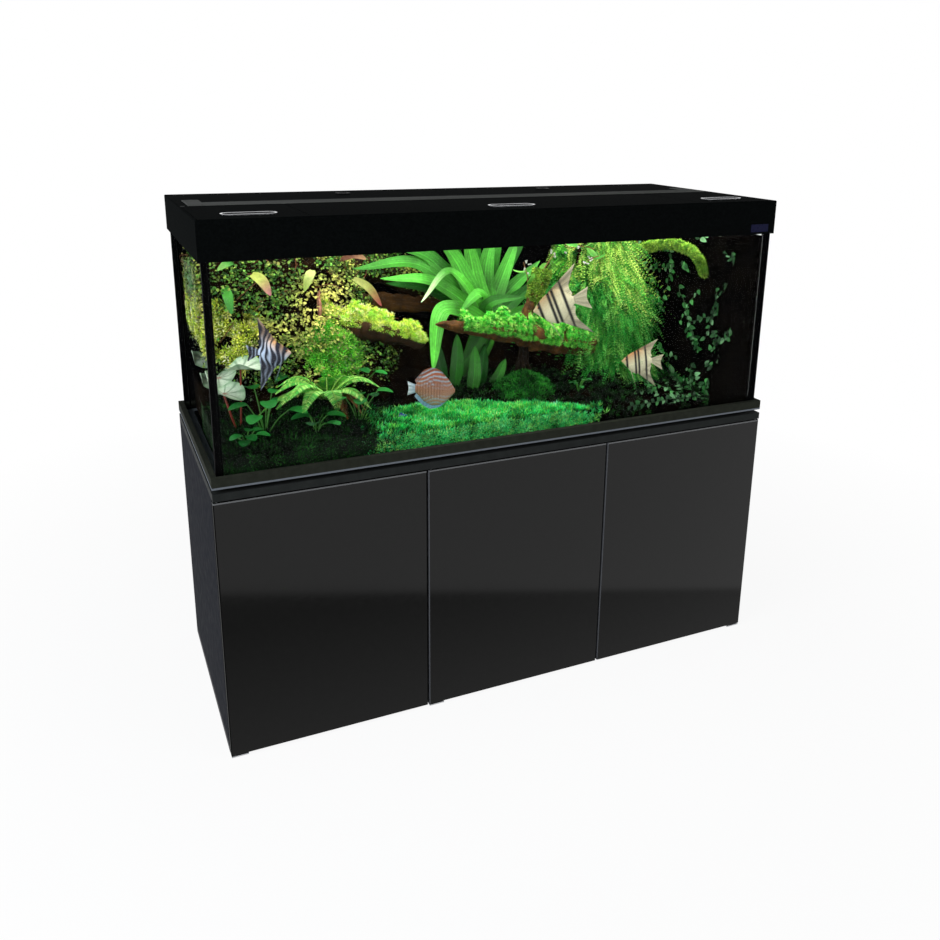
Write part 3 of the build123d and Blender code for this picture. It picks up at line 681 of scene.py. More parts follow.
def star_moss():
    """Yellow-green star moss down the left side of the left hill, and brighter moss on its front."""
    x, _, z = left_hill.centres.T
    foot = 0.86 + 0.5 * np.clip(-0.58 - x, 0, 0.14)
    leftward = ramp(x + 0.25 * (1.10 - z), -0.545, -0.60)
    side = left_hill.patches(18.0, seed=23, level=0.04) * leftward
    side = side * ramp(z - foot, 0, 0.05) * ramp(z, 1.06, 1.01)
    front = ramp(np.hypot((x + 0.415) / 1.1, z - 0.915), 0.075, 0.05) * (left_hill.normals[:, 1] < 0.2)
    moss("star_moss", (
        (left_hill, 1700, side, ("cfe048", "eef470", "a4be38", "fafca4", "7a9a2e"), 0.008, 0.018),
        (left_hill, 1500, front, ("74cc40", "a0e858", "4cac34"), 0.007, 0.015),
    ), upward=0.5, bright=1.25)


# Hanging fronds of moss: steps along a frond and the longest blade
FROND_STEPS = 16
FROND_BLADE = 0.013


def sprays(name, ground, count, share, codes, reach, way):
    """Hanging feathery fronds: strands off a surface with blades to both sides, paler to their tips."""
    growth = Growth()
    roots, normals = ground.spots(count, share)
    t = np.linspace(0, 1, FROND_STEPS)[None, :, None]
    length = rng.uniform(*reach, (count, 1, 1))
    lean = normals[:, None] * 0.45 + np.asarray(way) + 0.25 * rng.normal(size=(count, 1, 3))
    path = roots[:, None] + length * (lean * t - 0.55 * UP * t**2)
    ahead = unit(lean - 1.1 * UP * t)
    aside = unit(np.cross(ahead, rng.normal(size=(count, 1, 3))))
    spots, ahead, aside = (np.repeat(each.reshape(-1, 3), 2, axis=0) for each in (path, ahead, aside))
    turn = np.tile((1.0, -1.0), count * FROND_STEPS)[:, None]
    share = np.tile(np.repeat(t.ravel(), 2), count)
    # Darker at the root and paler to the tips; the darkness at the root is painted shade
    tints = np.repeat(varied(codes, count, 0.6), FROND_STEPS * 2, axis=0) * (0.4 + 1.7 * share)[:, None]
    size = FROND_BLADE * (1.15 - 0.8 * share) * rng.uniform(0.7, 1.3, len(spots))
    scatter(growth, BLADE, spots, 0.8 * ahead + turn * aside, ahead, size, size, tints)
    growth.piece(name, MOSS)


def right_hill_moss():
    """On the right hill's front, feather moss with bare hollows, fronds, and pale strands from the top."""
    x, _, z = right_hill.centres.T
    facing = right_hill.normals[:, 1]
    above_foot = ramp(z + 1.1 * np.clip(x - 0.24, 0, 0.3), 0.89, 0.95)
    hollow = 1 - ramp(x, 0.47, 0.51) * ramp(z, 0.96, 1.0)
    slope = right_hill.patches(12.0, seed=51, level=-0.04) * ramp(facing, 0.3, 0.0)
    slope = slope * above_foot * hollow * ramp(x, 0.60, 0.54)
    crest = slope * ramp(z, 0.98, 1.06)
    moss("feather_moss", (
        (right_hill, 5200, slope, ("145218", "268c26", "3ca030", "0b2e0e"), 0.006, 0.014),
        (right_hill, 2600, crest, ("2f822a", "4ca034", "70bc44", "226420"), 0.006, 0.014),
    ), bright=1.3)
    front = ramp(facing, 0.2, -0.1)
    fronds = front * above_foot * ramp(z, 1.04, 0.99) * ramp(x, 0.53, 0.47)
    sprays("slope_fronds", right_hill, 2300, fronds,
           ("2a8a2e", "46ae44", "1f7226", "74c850"), (0.05, 0.11), (-0.25, -0.3, 0.1))
    strand = 0.12 + ramp(np.abs(x - 0.430), 0.05, 0.03)
    curtain = ramp(z, 0.99, 1.05) * front * strand * ramp(x, 0.50, 0.46)
    sprays("moss_curtain", right_hill, 1000, curtain,
           ("5cae3c", "8ccc4c", "3c9230", "b4d85c"), (0.07, 0.15), (0.0, -0.35, -0.25))


def leaves_on(growth, roots, normals, codes, tip_code, sizes):
    """Small round leaves standing off a surface, some patches with paler tips."""
    count = len(roots)
    tips = np.clip(rough(roots, 9.0, 1.5, 44), 0, 1)
    tips = np.maximum(tips, ramp(np.hypot(roots[:, 0] + 0.43, roots[:, 2] - 1.02), 0.10, 0.04))
    tints = mixed(varied(codes, count, 0.35), tone(tip_code), tips)
    tints = tints * rng.uniform(0.25, 1.25, (count, 1)) * (1 + 0.6 * tips)[:, None]
    size = rng.uniform(*sizes, count)
    along = normals * 0.4 + rng.normal(size=roots.shape)
    scatter(growth, ROUND_LEAF, roots, along, normals + 0.7 * UP, size, size * 0.48, tints)


# How far the creepers' leaves stand off the ground at most
CREEPER_REACH = 0.035


def creepers():
    """Creeping round leaves over the left hill and the branch behind, with twigs among them."""
    growth = Growth()
    x, _, z = left_hill.centres.T
    thick = np.maximum(ramp(x, -0.66, -0.60), ramp(z, 1.0, 1.05))
    share = left_hill.patches(11.0, seed=41, level=-0.16) * ramp(z, 0.82, 0.92) * (0.15 + thick)
    greens = ("3f7a24", "5f9a34", "24501a", "86a83e")
    for roots, ways, tip in (
        (*left_hill.spots(15500, share), "c2bd5c"),
        (*along_wood(*rear_branch, 5000, 0.0, 1.9), "a5ad4a"),
    ):
        reach = rng.uniform(0, 1, (len(roots), 1)) ** 1.5 * CREEPER_REACH
        leaves_on(growth, roots + ways * reach, ways, greens, tip, (0.004, 0.0085))
    for start, normal in zip(*left_hill.spots(60, ramp(z, 0.95, 1.0))):
        way = unit(np.cross(normal, rng.normal(size=3)) + 0.4 * UP) * rng.uniform(0.04, 0.09)
        path = smooth_path((start, start + way * 0.5 + normal * 0.02, start + way + normal * 0.01), 9)
        tube(growth, path, np.linspace(0.0016, 0.0008, 9), "5f3420", 5)
    growth.piece("hill_creepers")


# Single long leaves on the left hill: where each is rooted and ends, half width, colours of foot and tip
BRACTS = (
    ((-0.575, 0.010, 1.105), (-0.540, -0.025, 1.058), 0.015, "c2cc5c", "d98a8f"),
    ((-0.432, 0.000, 1.108), (-0.458, -0.020, 1.062), 0.014, "cfdc7c", "a8c45a"),
    ((-0.326, 0.010, 1.080), (-0.262, -0.010, 1.010), 0.012, "b4bc5c", "c4545a"),
    ((-0.640, 0.020, 1.075), (-0.640, -0.070, 1.030), 0.014, "4fa83c", "3a8c34"),
    ((-0.705, 0.200, 1.075), (-0.700, 0.130, 1.040), 0.016, "3f9a3c", "2f7d30"),
    ((-0.600, 0.060, 1.120), (-0.655, 0.000, 1.120), 0.012, "4a9a3c", "7fb850"),
    ((-0.345, 0.060, 1.120), (-0.290, 0.020, 1.125), 0.011, "7a4a34", "b88a5c"),
)
BRACT_SHIFT = np.array((-0.015, -0.035, 0.004))


def bracts():
    """Single leaves that turn to another colour at their tips."""
    growth = Growth()
    t = np.linspace(0, 1, 14)
    for foot, tip, half, foot_code, tip_code in BRACTS:
        path = bent_path(foot + BRACT_SHIFT, tip + BRACT_SHIFT, (0, -0.012, 0.012), len(t))
        width = 0.85 * half * np.sin(math.pi * (0.12 + 0.86 * t)) ** 0.7
        tints = 0.6 * mixed(tone(foot_code), tone(tip_code), ramp(t, 0.45, 0.95))
        ribbon(growth, path, width, (-0.3, -0.8, 0.5), np.repeat(tints[:, None], 5, axis=1), 0.25)
    growth.piece("bracts")


# Distance from one leaf of a vine to the next
VINE_STEP = 0.014


def wall_vines():
    """Vines with small heart-shaped leaves on the dark wall and at its foot."""
    growth = Growth()
    x, y, _ = bed.centres.T
    at_foot = ramp(np.hypot(x - 0.46, y + 0.2), 0.09, 0.06)
    inward, forward, _ = np.clip(-wall_hill.normals, 0, 1).T
    places = (wall_hill.spots(80, inward + 2.2 * forward), bed.spots(12, at_foot))
    starts, normals = map(np.concatenate, zip(*places))
    for start, normal in zip(starts, normals):
        count = int(rng.integers(7, 15))
        sway = unit(np.cross(normal, rng.normal(size=3)))
        t = np.arange(count)[:, None] * VINE_STEP
        path = start + normal * (0.010 + 0.2 * t) + sway * t * 0.8 - UP * t * 0.4
        path = path + rng.normal(0, 0.002, (count, 3))
        path[:, 2] = np.maximum(path[:, 2], bed_height(path[:, 1]) + 0.006)
        tube(growth, path, 0.0009, "24401c", 5)
        size = rng.uniform(0.010, 0.017, count)
        turn = np.where(np.arange(count) % 2, 1, -1)[:, None]
        along = unit(np.cross(sway, normal) * turn + 0.5 * sway - 0.5 * UP)
        tints = varied(("174a20", "2a6e30", "469048", "74ac74"), count, 0.35)
        scatter(growth, HEART_LEAF, path, along, normal + (-0.3, -0.4, 0.3), size, size * 0.4, tints)
    growth.piece("wall_vines")


# Driftwood: the log with its stub and roots, a mossy ledge, a branch behind and an arch at the right
LOG_LINE = ((-0.150, -0.095, 0.965), (0.020, -0.085, 0.935),
            (0.180, -0.072, 0.895), (0.345, -0.050, 0.860))
STUB_LINE = ((0.090, -0.072, 0.915), (0.130, -0.080, 1.000), (0.165, -0.068, 1.085))
LEDGE_LINE = ((-0.480, 0.060, 0.990), (-0.395, -0.020, 0.972),
              (-0.287, -0.060, 0.952), (-0.174, -0.080, 0.914))
BACK_LINE = ((-0.340, 0.110, 1.000), (-0.210, 0.115, 0.988),
             (-0.060, 0.125, 0.962), (0.030, 0.150, 0.920))
REAR_LINE = ((-0.460, 0.140, 1.100), (-0.290, 0.150, 1.095),
             (-0.140, 0.165, 1.030), (0.020, 0.195, 0.900))
ARCH_LINE = ((0.480, 0.060, 1.085), (0.545, 0.000, 1.115), (0.560, -0.080, 1.135),
             (0.560, -0.160, 1.135), (0.560, -0.225, 1.110), (0.560, -0.250, 1.070))
TWIG_LINE = ((-0.430, -0.030, 1.062), (-0.437, -0.045, 1.015), (-0.450, -0.045, 0.970))
ROOT_TOP = np.array((0.130, -0.040, 0.905))
ROOTS = 5


def wood(growth, line, radius, count=70, sides=24, gnarl=0.22, code="54361a"):
    """Gnarled branch with swellings, and grooves and streaks along its grain."""
    path = smooth_path(line, count)
    path = path + np.stack([rough(path, 20.0, 0.004, seed) for seed in (61, 62, 63)], 1)
    ring = rings(unit(np.gradient(path, axis=0)), (0.3, 0.9, 0.2), sides)
    ends = np.minimum(1, np.minimum(np.arange(count) + 0.05, count - 0.95 - np.arange(count)) / 3)
    swell = np.interp(np.linspace(0, 1, count), np.linspace(0, 1, len(radius)), radius) * np.sqrt(ends)
    streak = rng.normal(0, 1, (1, sides)) + 0.5 * rng.normal(0, 1, (count, sides))
    knots = rough((path[:, None] + ring * 0.02).reshape(-1, 3), 30.0, 1.0, 64).reshape(count, sides)
    points = path[:, None] + ring * (swell[:, None] * (1 + gnarl * (0.3 * streak + knots)))[:, :, None]
    tints = np.array(tone(code)) * np.clip(0.85 + 0.22 * streak + 0.5 * knots, 0.25, 1.7)[..., None]
    growth.add(inside(points), grid_quads(count, sides, wrap=True), tints.reshape(-1, 3))
    return path, swell


def along_wood(path, swell, count, first, cover):
    """Random places on the upper side of a branch, past a share of its length, and their ways out."""
    k = (rng.uniform(first, 1, count) * (len(path) - 2)).astype(int)
    along = unit(path[k + 1] - path[k])
    side = unit(np.cross(along, UP))
    angle = rng.uniform(-1, 1, count) * cover
    out = np.cross(side, along) * np.cos(angle)[:, None] + side * np.sin(angle)[:, None]
    places = path[k] + out * (swell[k] * 0.9)[:, None]
    return places + along * rng.uniform(-0.004, 0.004, (count, 1)), out


def wood_moss(name, branch, count, first, cover, codes, sizes, heap, bright):
    """Moss on the upper side of a branch, heaped up."""
    growth = Growth()
    roots, out = along_wood(*branch, count, first, cover)
    lift = rng.uniform(0, 1, (count, 1))
    upward = np.clip(out[:, 2:], 0.15, 1)
    bumps = 0.6 + np.clip(rough(roots, 22.0, 1.2, 71), -0.4, 0.6)[:, None]
    roots = roots + out * lift * heap * upward * bumps
    # Painted shade: darker low in the heap and where the moss faces away from up, lighter on top; bright is
    # partly painted light
    tints = varied(codes, count, 0.3) * bright * (0.4 + 1.2 * lift * np.sqrt(upward))
    tufts(growth, STAR, roots, out + 0.3 * UP, rng.uniform(*sizes, count), tints)
    growth.piece(name, MOSS)


driftwood = Growth()
log_branch = wood(driftwood, LOG_LINE, (0.008, 0.026, 0.036, 0.040))
stub_branch = wood(driftwood, STUB_LINE, (0.018, 0.015, 0.021))
ledge_branch = wood(driftwood, LEDGE_LINE, (0.040, 0.036, 0.030, 0.016), code="2e1c0e")
rear_branch = wood(driftwood, REAR_LINE, (0.045, 0.045, 0.034, 0.020), code="2e1e10")
wood(driftwood, BACK_LINE, (0.020, 0.024, 0.020, 0.012), code="40290f")
wood(driftwood, TWIG_LINE, (0.003, 0.007, 0.004), 30, 10, code="b07a62")
arch_branch = wood(driftwood, ARCH_LINE, (0.012, 0.011, 0.010, 0.009, 0.007, 0.004))
# The roots are painted darker, as shade under the log
for k in range(ROOTS):
    foot = np.array((ROOT_TOP[0] + 0.016 * (k - ROOTS // 2), ROOT_TOP[1] + 0.022 * math.sin(2.4 * k), 0))
    foot[2] = bed_height(foot[1]) - 0.004
    middle = (ROOT_TOP + foot) / 2 + rng.normal(0, 0.006, 3)
    wood(driftwood, (ROOT_TOP, middle, foot), (0.010, 0.0055, 0.007), 40, 12, code="1c120a")
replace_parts(driftwood.piece("driftwood", BARK, "driftwood"), "log")

# Tall strap-leaved plant: where each leaf bends and ends, half width and how pale it is, which paints light
# and shade on each leaf
STRAP_CROWN = np.array((-0.050, 0.010, 0.752))
STRAP_WAIST = np.array((0.045, 0.050, 0.905))
STRAP_LEAVES = (
    ((-0.120, 0.070, 1.085), (-0.330, 0.020, 1.100), 0.024, 0.50),
    ((-0.090, 0.050, 1.040), (-0.265, 0.000, 1.075), 0.021, 0.75),
    ((-0.080, 0.090, 1.010), (-0.230, 0.060, 1.050), 0.020, 0.10),
    ((-0.080, 0.090, 1.090), (-0.215, 0.050, 1.150), 0.027, 0.35),
    ((-0.050, 0.110, 1.060), (-0.150, 0.090, 1.172), 0.028, 0.15),
    ((-0.010, 0.080, 1.070), (-0.090, 0.060, 1.172), 0.029, 0.60),
    ((0.005, 0.110, 1.060), (-0.045, 0.100, 1.172), 0.027, 0.25),
    ((0.030, 0.080, 1.060), (0.000, 0.070, 1.172), 0.028, 0.85),
    ((0.050, 0.115, 1.050), (0.050, 0.110, 1.172), 0.026, 0.20),
    ((0.065, 0.080, 1.050), (0.085, 0.075, 1.172), 0.028, 0.55),
    ((0.090, 0.110, 1.040), (0.125, 0.105, 1.172), 0.028, 0.30),
    ((0.110, 0.080, 1.020), (0.170, 0.085, 1.165), 0.026, 0.65),
    ((0.120, 0.120, 1.010), (0.205, 0.110, 1.150), 0.027, 0.15),
    ((0.130, 0.080, 0.990), (0.225, 0.060, 1.085), 0.025, 0.45),
    ((0.130, 0.050, 0.970), (0.210, 0.010, 1.045), 0.025, 0.20),
    ((0.120, 0.020, 0.945), (0.220, -0.020, 0.990), 0.019, 0.55),
    ((0.040, 0.000, 0.985), (0.120, -0.050, 1.010), 0.020, 0.35),
    ((-0.055, 0.035, 1.075), (-0.166, -0.032, 1.012), 0.013, 1.00),
    ((-0.110, -0.050, 0.990), (-0.170, -0.125, 0.850), 0.027, 0.98),
    ((0.020, 0.010, 1.010), (-0.060, -0.045, 0.985), 0.020, 0.80),
)
STRAP_LOWER = (
    ((-0.078, -0.045, 0.770), (-0.060, -0.020, 0.915), 0.018, 0.22),
    ((-0.036, -0.062, 0.745), (-0.010, -0.025, 0.880), 0.018, 0.32),
    ((0.010, -0.052, 0.742), (0.090, -0.010, 0.830), 0.015, 0.30),
    ((-0.100, -0.020, 0.760), (-0.110, 0.010, 0.900), 0.016, 0.05),
    ((-0.010, -0.040, 0.745), (0.030, 0.000, 0.870), 0.016, 0.05),
)


def strap_leaf(growth, line, half, pale, foot_share):
    """Long pointed leaf with lengthwise veins, narrow at its foot, with painted shade: one half paler than
    the other at the fold, and darker to the foot.
    """
    steps, columns = 48, 13
    t = np.linspace(0, 1, steps)
    path = smooth_path(line, steps)
    width = half * np.clip(foot_share + 1.5 * t, 0, 1) * np.clip(1.0 - t**4, 0.01, 1) ** 0.75
    v = np.linspace(-1, 1, columns)
    veins = 1 + 0.20 * np.cos(v * 19) + 0.45 * np.exp(-(v / 0.10) ** 2) + 0.18 * np.sign(v)
    # Painted light and shade: pale sets how lit the leaf looks; the palest leaves get a painted highlight at
    # the tip
    body = mixed(tone("084a10"), tone("5abe3c"), pale)
    body = mixed(body, tone("b4d498"), ramp(t, 0.72, 0.95) * (pale >= 1))
    # Painted shade: darker towards the foot; the one-sided step in the veins is painted fold shade
    tint = (body * (0.35 + 0.8 * t**0.8)[:, None])[:, None] * veins[None, :, None]
    tint = tint * (0.8 + 0.5 * rough(path, 14.0, 1.0, 81))[:, None, None]
    wave = np.outer(0.003 * np.sin(17 * t + 40 * half) * t, np.abs(v))
    ribbon(growth, path, width, (-0.25, -0.75, 0.6), tint, 0.32 + wave / half, columns)


def strap_leaves():
    """Tall leaves from one crown, and short ones in front of it."""
    growth = Growth()
    for bend, tip, half, pale in STRAP_LEAVES:
        foot = STRAP_CROWN + rng.normal(0, 0.012, 3) * (1, 1, 0)
        strap_leaf(growth, (foot, STRAP_WAIST + rng.normal(0, 0.012, 3), bend, tip), half, pale, 0.25)
    for foot, tip, half, pale in STRAP_LOWER:
        middle = (np.array(foot) + tip) / 2 + (0, -0.01, 0)
        strap_leaf(growth, (foot, middle, tip), half, pale, 0.5)
    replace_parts(growth.piece("strap_leaves"), "strap_plant")


FERN_CROWN = np.array((-0.461, -0.190, 0.828))
FERN_FRONDS = 19


def fern():
    """Rosette of feather fronds, the upper ones fresh and some lower ones brown."""
    growth = Growth()
    pinna = oval_leaf(5, 0.45, 0.15, 0.15)
    t = np.linspace(0, 1, 44)
    root = smooth_path((FERN_CROWN - 0.05 * UP, FERN_CROWN - 0.02 * UP, FERN_CROWN), 6)
    tube(growth, root, 0.009, "3a2413", 9)
    for k in range(FERN_FRONDS):
        turn = LEAF_TURN * k + 0.5
        rise = ((k * 4) % FERN_FRONDS) / FERN_FRONDS
        old = rise < 0.2
        out = np.array((math.cos(turn), 0.6 * math.sin(turn), 0))
        reach, sag = (0.095, 0.055) if old else (0.175 - 0.06 * rise, 0.052)
        lift = (0.010 + 0.085 * rise) * t - sag * t**2.2 + 0.022 * np.sin(math.pi * t)
        path = FERN_CROWN + out * (reach * t)[:, None] + UP * lift[:, None]
        tube(growth, path, 0.0016 * (1.2 - t), "7a4a26" if old else "7fae3c", 5)
        codes = ("8f4a2a", "7a6a30", "5f4a24") if old else ("3f9a36", "68b448", "9ccc66")
        along = unit(np.gradient(path, axis=0))[2:]
        length = 0.021 * np.sin(math.pi * np.clip(0.16 + 0.82 * t[2:], 0, 1)) ** 0.8 + 0.001
        for side in (-1, 1):
            way = unit(np.cross(along, UP)) * side + 0.35 * along
            # Painted shade: lower fronds darker, higher ones lighter
            tints = varied(codes, len(along), 0.15) * (0.85 + 0.85 * rise)
            scatter(growth, pinna, path[2:], way, UP + 0.4 * out, length, 0.0012, tints)
    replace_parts(growth.piece("fern"), "small_plants")


# Pale lily leaves on red stems: leaf centre, heading and length
LILY_CROWN = np.array((-0.655, -0.130, 0.745))
LILY_RINGS, LILY_SIDES = 10, 80
LILY_REAR_CROWN = np.array((-0.690, 0.080, bed_height(0.080) - 0.006))
LILY_LEAVES = (
    ((-0.680, 0.170, 0.862), (-0.3, -0.9, 0.05), 0.095),
    ((-0.648, -0.140, 0.912), (0.95, -0.4, 0.15), 0.090),
    ((-0.690, -0.075, 0.878), (-0.1, -1.0, -0.1), 0.080),
    ((-0.690, -0.150, 0.860), (0.7, -0.7, 0.0), 0.080),
    ((-0.680, 0.030, 0.842), (-0.2, -1.0, 0.0), 0.090),
)


def lily():
    """Heart-shaped silvery leaves with green veins spreading from a red centre."""
    growth = Growth()
    r = np.linspace(0.03, 1, LILY_RINGS)[:, None]
    turn = np.linspace(-math.pi, math.pi, LILY_SIDES, endpoint=False)[None]
    quads = grid_quads(LILY_RINGS, LILY_SIDES, wrap=True)
    notch = 1 - 0.62 * np.exp(-((np.abs(turn) - math.pi) / 0.30) ** 2)
    outline = 0.5 * (1 + 0.22 * np.cos(turn)) * notch * r
    vein = np.clip(np.cos(9 * turn) * 2.2 - 1.1, 0, 1) * (1 - 0.5 * r)
    tint = mixed(mixed(tone("cdd9c4"), tone("8fb08a"), r**3 + 0 * turn), tone("2f6a3a"), 0.9 * vein)
    tint = mixed(tint, tone("a0584a"), ramp(r, 0.22, 0.05) + 0 * turn)
    for centre, heading, size in LILY_LEAVES:
        centre = np.array(centre)
        along = unit(np.array(heading))
        across = unit(np.cross(along, UP))
        lift = np.cross(across, along)
        ahead, aside = outline * np.cos(turn), outline * np.sin(turn)
        wave = 0.9 * aside**2 - 0.35 * ahead * np.abs(ahead) + 0.02 * r**2 * np.sin(6 * turn)
        shift = ahead[..., None] * along + aside[..., None] * across + wave[..., None] * lift
        growth.add(inside(centre + size * shift), quads, tint.reshape(-1, 3))
        foot = LILY_CROWN if centre[1] < 0 else LILY_REAR_CROWN
        stem = smooth_path((foot, (foot + centre) / 2 - 0.012 * UP, centre - 0.002 * UP), 16)
        tube(growth, stem, 0.0022, "7a2f22", 7)
    growth.piece("lily")


# Low plants with round green leaves on stalks: root in plan, height and leaf size
ROUND_PLANTS = (
    (-0.610, -0.190, 0.110, 0.042),
    (-0.500, -0.240, 0.060, 0.042),
    (-0.395, -0.225, 0.090, 0.036),
    (-0.500, -0.100, 0.100, 0.036),
    (-0.380, -0.110, 0.120, 0.030),
    (-0.660, -0.225, 0.050, 0.030),
    (0.230, -0.170, 0.045, 0.014),
)
ROUND_STALKS = 7


def round_plants():
    """Stalks from each root, each with one leaf."""
    growth = Growth()
    leaf = oval_leaf(9, 0.5, 0.3, 0.25)
    for x, y, height, size in ROUND_PLANTS:
        nearest = np.argmin(np.hypot(bed.points[:, 0] - x, bed.points[:, 1] - y))
        root = bed.points[nearest] - 0.004 * UP
        for k in range(ROUND_STALKS):
            turn = LEAF_TURN * k + 100 * height
            out = np.array((math.cos(turn), math.sin(turn), 0))
            top = root + out * height * rng.uniform(0.15, 0.6) + UP * height * rng.uniform(0.55, 1.0)
            tube(growth, bent_path(root, top, 0.01 * UP, 8), 0.0013, "3f7a2c", 5)
            tints = varied(("1a6e2a", "278834", "115620"), 1)
            way = (out + 0.1 * UP)[None]
            scatter(growth, leaf, top[None], way, UP + 0.3 * out, size, size * 0.44, tints)
    growth.piece("round_plants")


# Sprigs of small white flowers: foot and tip of each twig
FLOWER_TWIGS = (
    ((0.120, -0.078, 1.000), (0.128, -0.030, 1.100)),
    ((0.160, -0.068, 1.070), (0.225, -0.025, 1.116)),
    ((0.400, 0.000, 1.090), (0.312, -0.050, 1.096)),
    ((0.380, 0.000, 1.110), (0.270, -0.020, 1.130)),
)
FLOWERS, PETALS, TWIG_LEAVES = 5, 5, 4


def flowers():
    """Twigs with flowers near the tip, and leaves below them."""
    growth = Growth()
    petal = oval_leaf(4, 0.5, 0.2, 0.1)
    for foot, tip in FLOWER_TWIGS:
        path = bent_path(foot, tip, (0, -0.01, 0.012), 12)
        tube(growth, path, np.linspace(0.0018, 0.0009, 12), "6b4424", 6)
        for spot in path[-FLOWERS:] + rng.normal(0, 0.007, (FLOWERS, 3)):
            way, face = rng.normal(size=(2, PETALS, 3))
            tints = varied(("c4c8be", "b4b0ac"), PETALS, 0.15)
            scatter(growth, petal, np.repeat(spot[None], PETALS, axis=0), way, face, 0.0052, 0.0023, tints)
        way, face = rng.normal(size=(2, TWIG_LEAVES, 3))
        tints = varied(("4a9a34", "6fb848"), TWIG_LEAVES)
        roots = path[2:2 + 2 * TWIG_LEAVES:2]
        scatter(growth, LONG_LEAF, roots, way + (0, -0.3, 0.1), face, 0.034, 0.008, tints)
    growth.piece("flower_twigs")


carpet()
dark_moss_with_painted_shade()
star_moss()
right_hill_moss()
creepers()
bracts()
wall_vines()
wood_moss("log_moss", log_branch, 9500, 0.16, 1.8,
          ("38962c", "58b43a", "86cc50", "247224"), (0.0045, 0.009), 0.034, 2.5)
wood_moss("stub_moss", stub_branch, 700, 0.55, 2.2,
          ("6f9a30", "8fae3c", "4f7a24"), (0.007, 0.013), 0.014, 1.3)
wood_moss("ledge_moss", ledge_branch, 7500, 0.06, 1.25,
          ("b8dc44", "dcec78", "96c43c", "6fa434"), (0.005, 0.011), 0.032, 1.8)
wood_moss("arch_moss", arch_branch, 2200, 0.02, 2.6,
          ("7fb038", "a3c84a", "4f8a2c"), (0.006, 0.012), 0.009, 1.0)
strap_leaves()
fern()
lily()
round_plants()
flowers()


# Fish
def eased(knots, places):
    """Heights at places along straight runs between knots, rounded at the knots."""
    fine = np.linspace(0, 1, 200)
    line = np.interp(fine, *np.transpose(knots))
    kernel = np.ones(21) / 21
    line = np.convolve(np.pad(line, 10, mode="edge"), kernel, mode="valid")
    return np.interp(places, fine, line)


class Fish:
    """A fish seen side on. Places and heights are shares of its body's length, from the snout."""

    def __init__(self, name, snout, heading, tilt, length):
        self.name = name
        self.growth = Growth()
        self.snout = np.array(snout)
        flat = unit(np.array(heading))
        self.back = -(flat * math.cos(tilt) + UP * math.sin(tilt))
        self.up = UP * math.cos(tilt) - flat * math.sin(tilt)
        self.side = unit(np.cross(self.back, self.up))
        self.length = length

    def spot(self, s, h, w):
        """Points at places, heights and widths."""
        s, h, w = np.broadcast_arrays(s, h, w)
        shift = s[..., None] * self.back + h[..., None] * self.up + w[..., None] * self.side
        return self.snout + shift * self.length

    def body(self, top, low, thick, paint):
        """Rounded body between its back's and its belly's line."""
        rows, sides = 96, 64
        s = np.linspace(0, 1, rows)
        crest, keel = eased(top, s), eased(low, s)
        turn = circle(sides)
        middle, half = (crest + keel) / 2, (crest - keel) / 2
        h = middle[:, None] + half[:, None] * np.cos(turn)
        w = thick * np.sin(math.pi * np.clip(0.04 + 0.90 * s, 0, 1))[:, None] ** 0.7 * np.sin(turn)
        s = np.broadcast_to(s[:, None], h.shape)
        self.growth.add(self.spot(s, h, w), grid_quads(rows, sides, wrap=True), paint(s, h).reshape(-1, 3))

    def fin(self, root, edge, paint, sway=0.02):
        """Sheet between a root line and an outer line, each through a few places and heights."""
        rows, columns = 24, 24
        near = smooth_path(np.asarray(root, float), columns)
        far = smooth_path(np.asarray(edge, float), columns)
        t = np.linspace(0, 1, rows)[:, None, None]
        flat = near[None] * (1 - t) + far[None] * t
        ripple = sway * np.sin(np.arange(columns) * 0.9)[None] * t[:, :, 0]
        rays = 0.86 + 0.14 * np.cos(np.arange(columns) * math.pi)[None, :, None]
        colours = paint(flat[..., 0], flat[..., 1]) * rays
        points = self.spot(flat[..., 0], flat[..., 1], ripple)
        self.growth.add(points, grid_quads(rows, columns), colours.reshape(-1, 3))

    def eye(self, s, h, radius, ring_code):
        """Raised eye on both sides: pupil, coloured ring and a dark rim."""
        rows, sides = 7, 16
        tilt = np.linspace(0, math.pi / 2, rows)
        turn = circle(sides)
        rings = np.array([tone("050505")] * 4 + [tone(ring_code)] * 2 + [tone("1a1a1a")])
        colours = np.repeat(rings[:, None], sides, axis=1).reshape(-1, 3)
        for side in (-1, 1):
            ds = radius * np.sin(tilt)[:, None] * np.cos(turn) + 1e-5
            dh = radius * np.sin(tilt)[:, None] * np.sin(turn)
            out = side * (0.035 + radius * 0.7 * np.cos(tilt)[:, None] + 0 * ds)
            self.growth.add(self.spot(s + ds, h + dh, out), grid_quads(rows, sides, wrap=True), colours)

    def done(self):
        """The fish as a piece."""
        self.growth.piece(self.name, SCALES)


def bars(s, centres, half):
    """Share of dark bar at each place."""
    return np.max([np.clip(1.5 - np.abs(s - c) / half, 0, 1) for c in centres], axis=0)


FACING_RIGHT = (0.908, -0.419, 0.0)
FACING_LEFT = (-0.908, 0.419, 0.0)


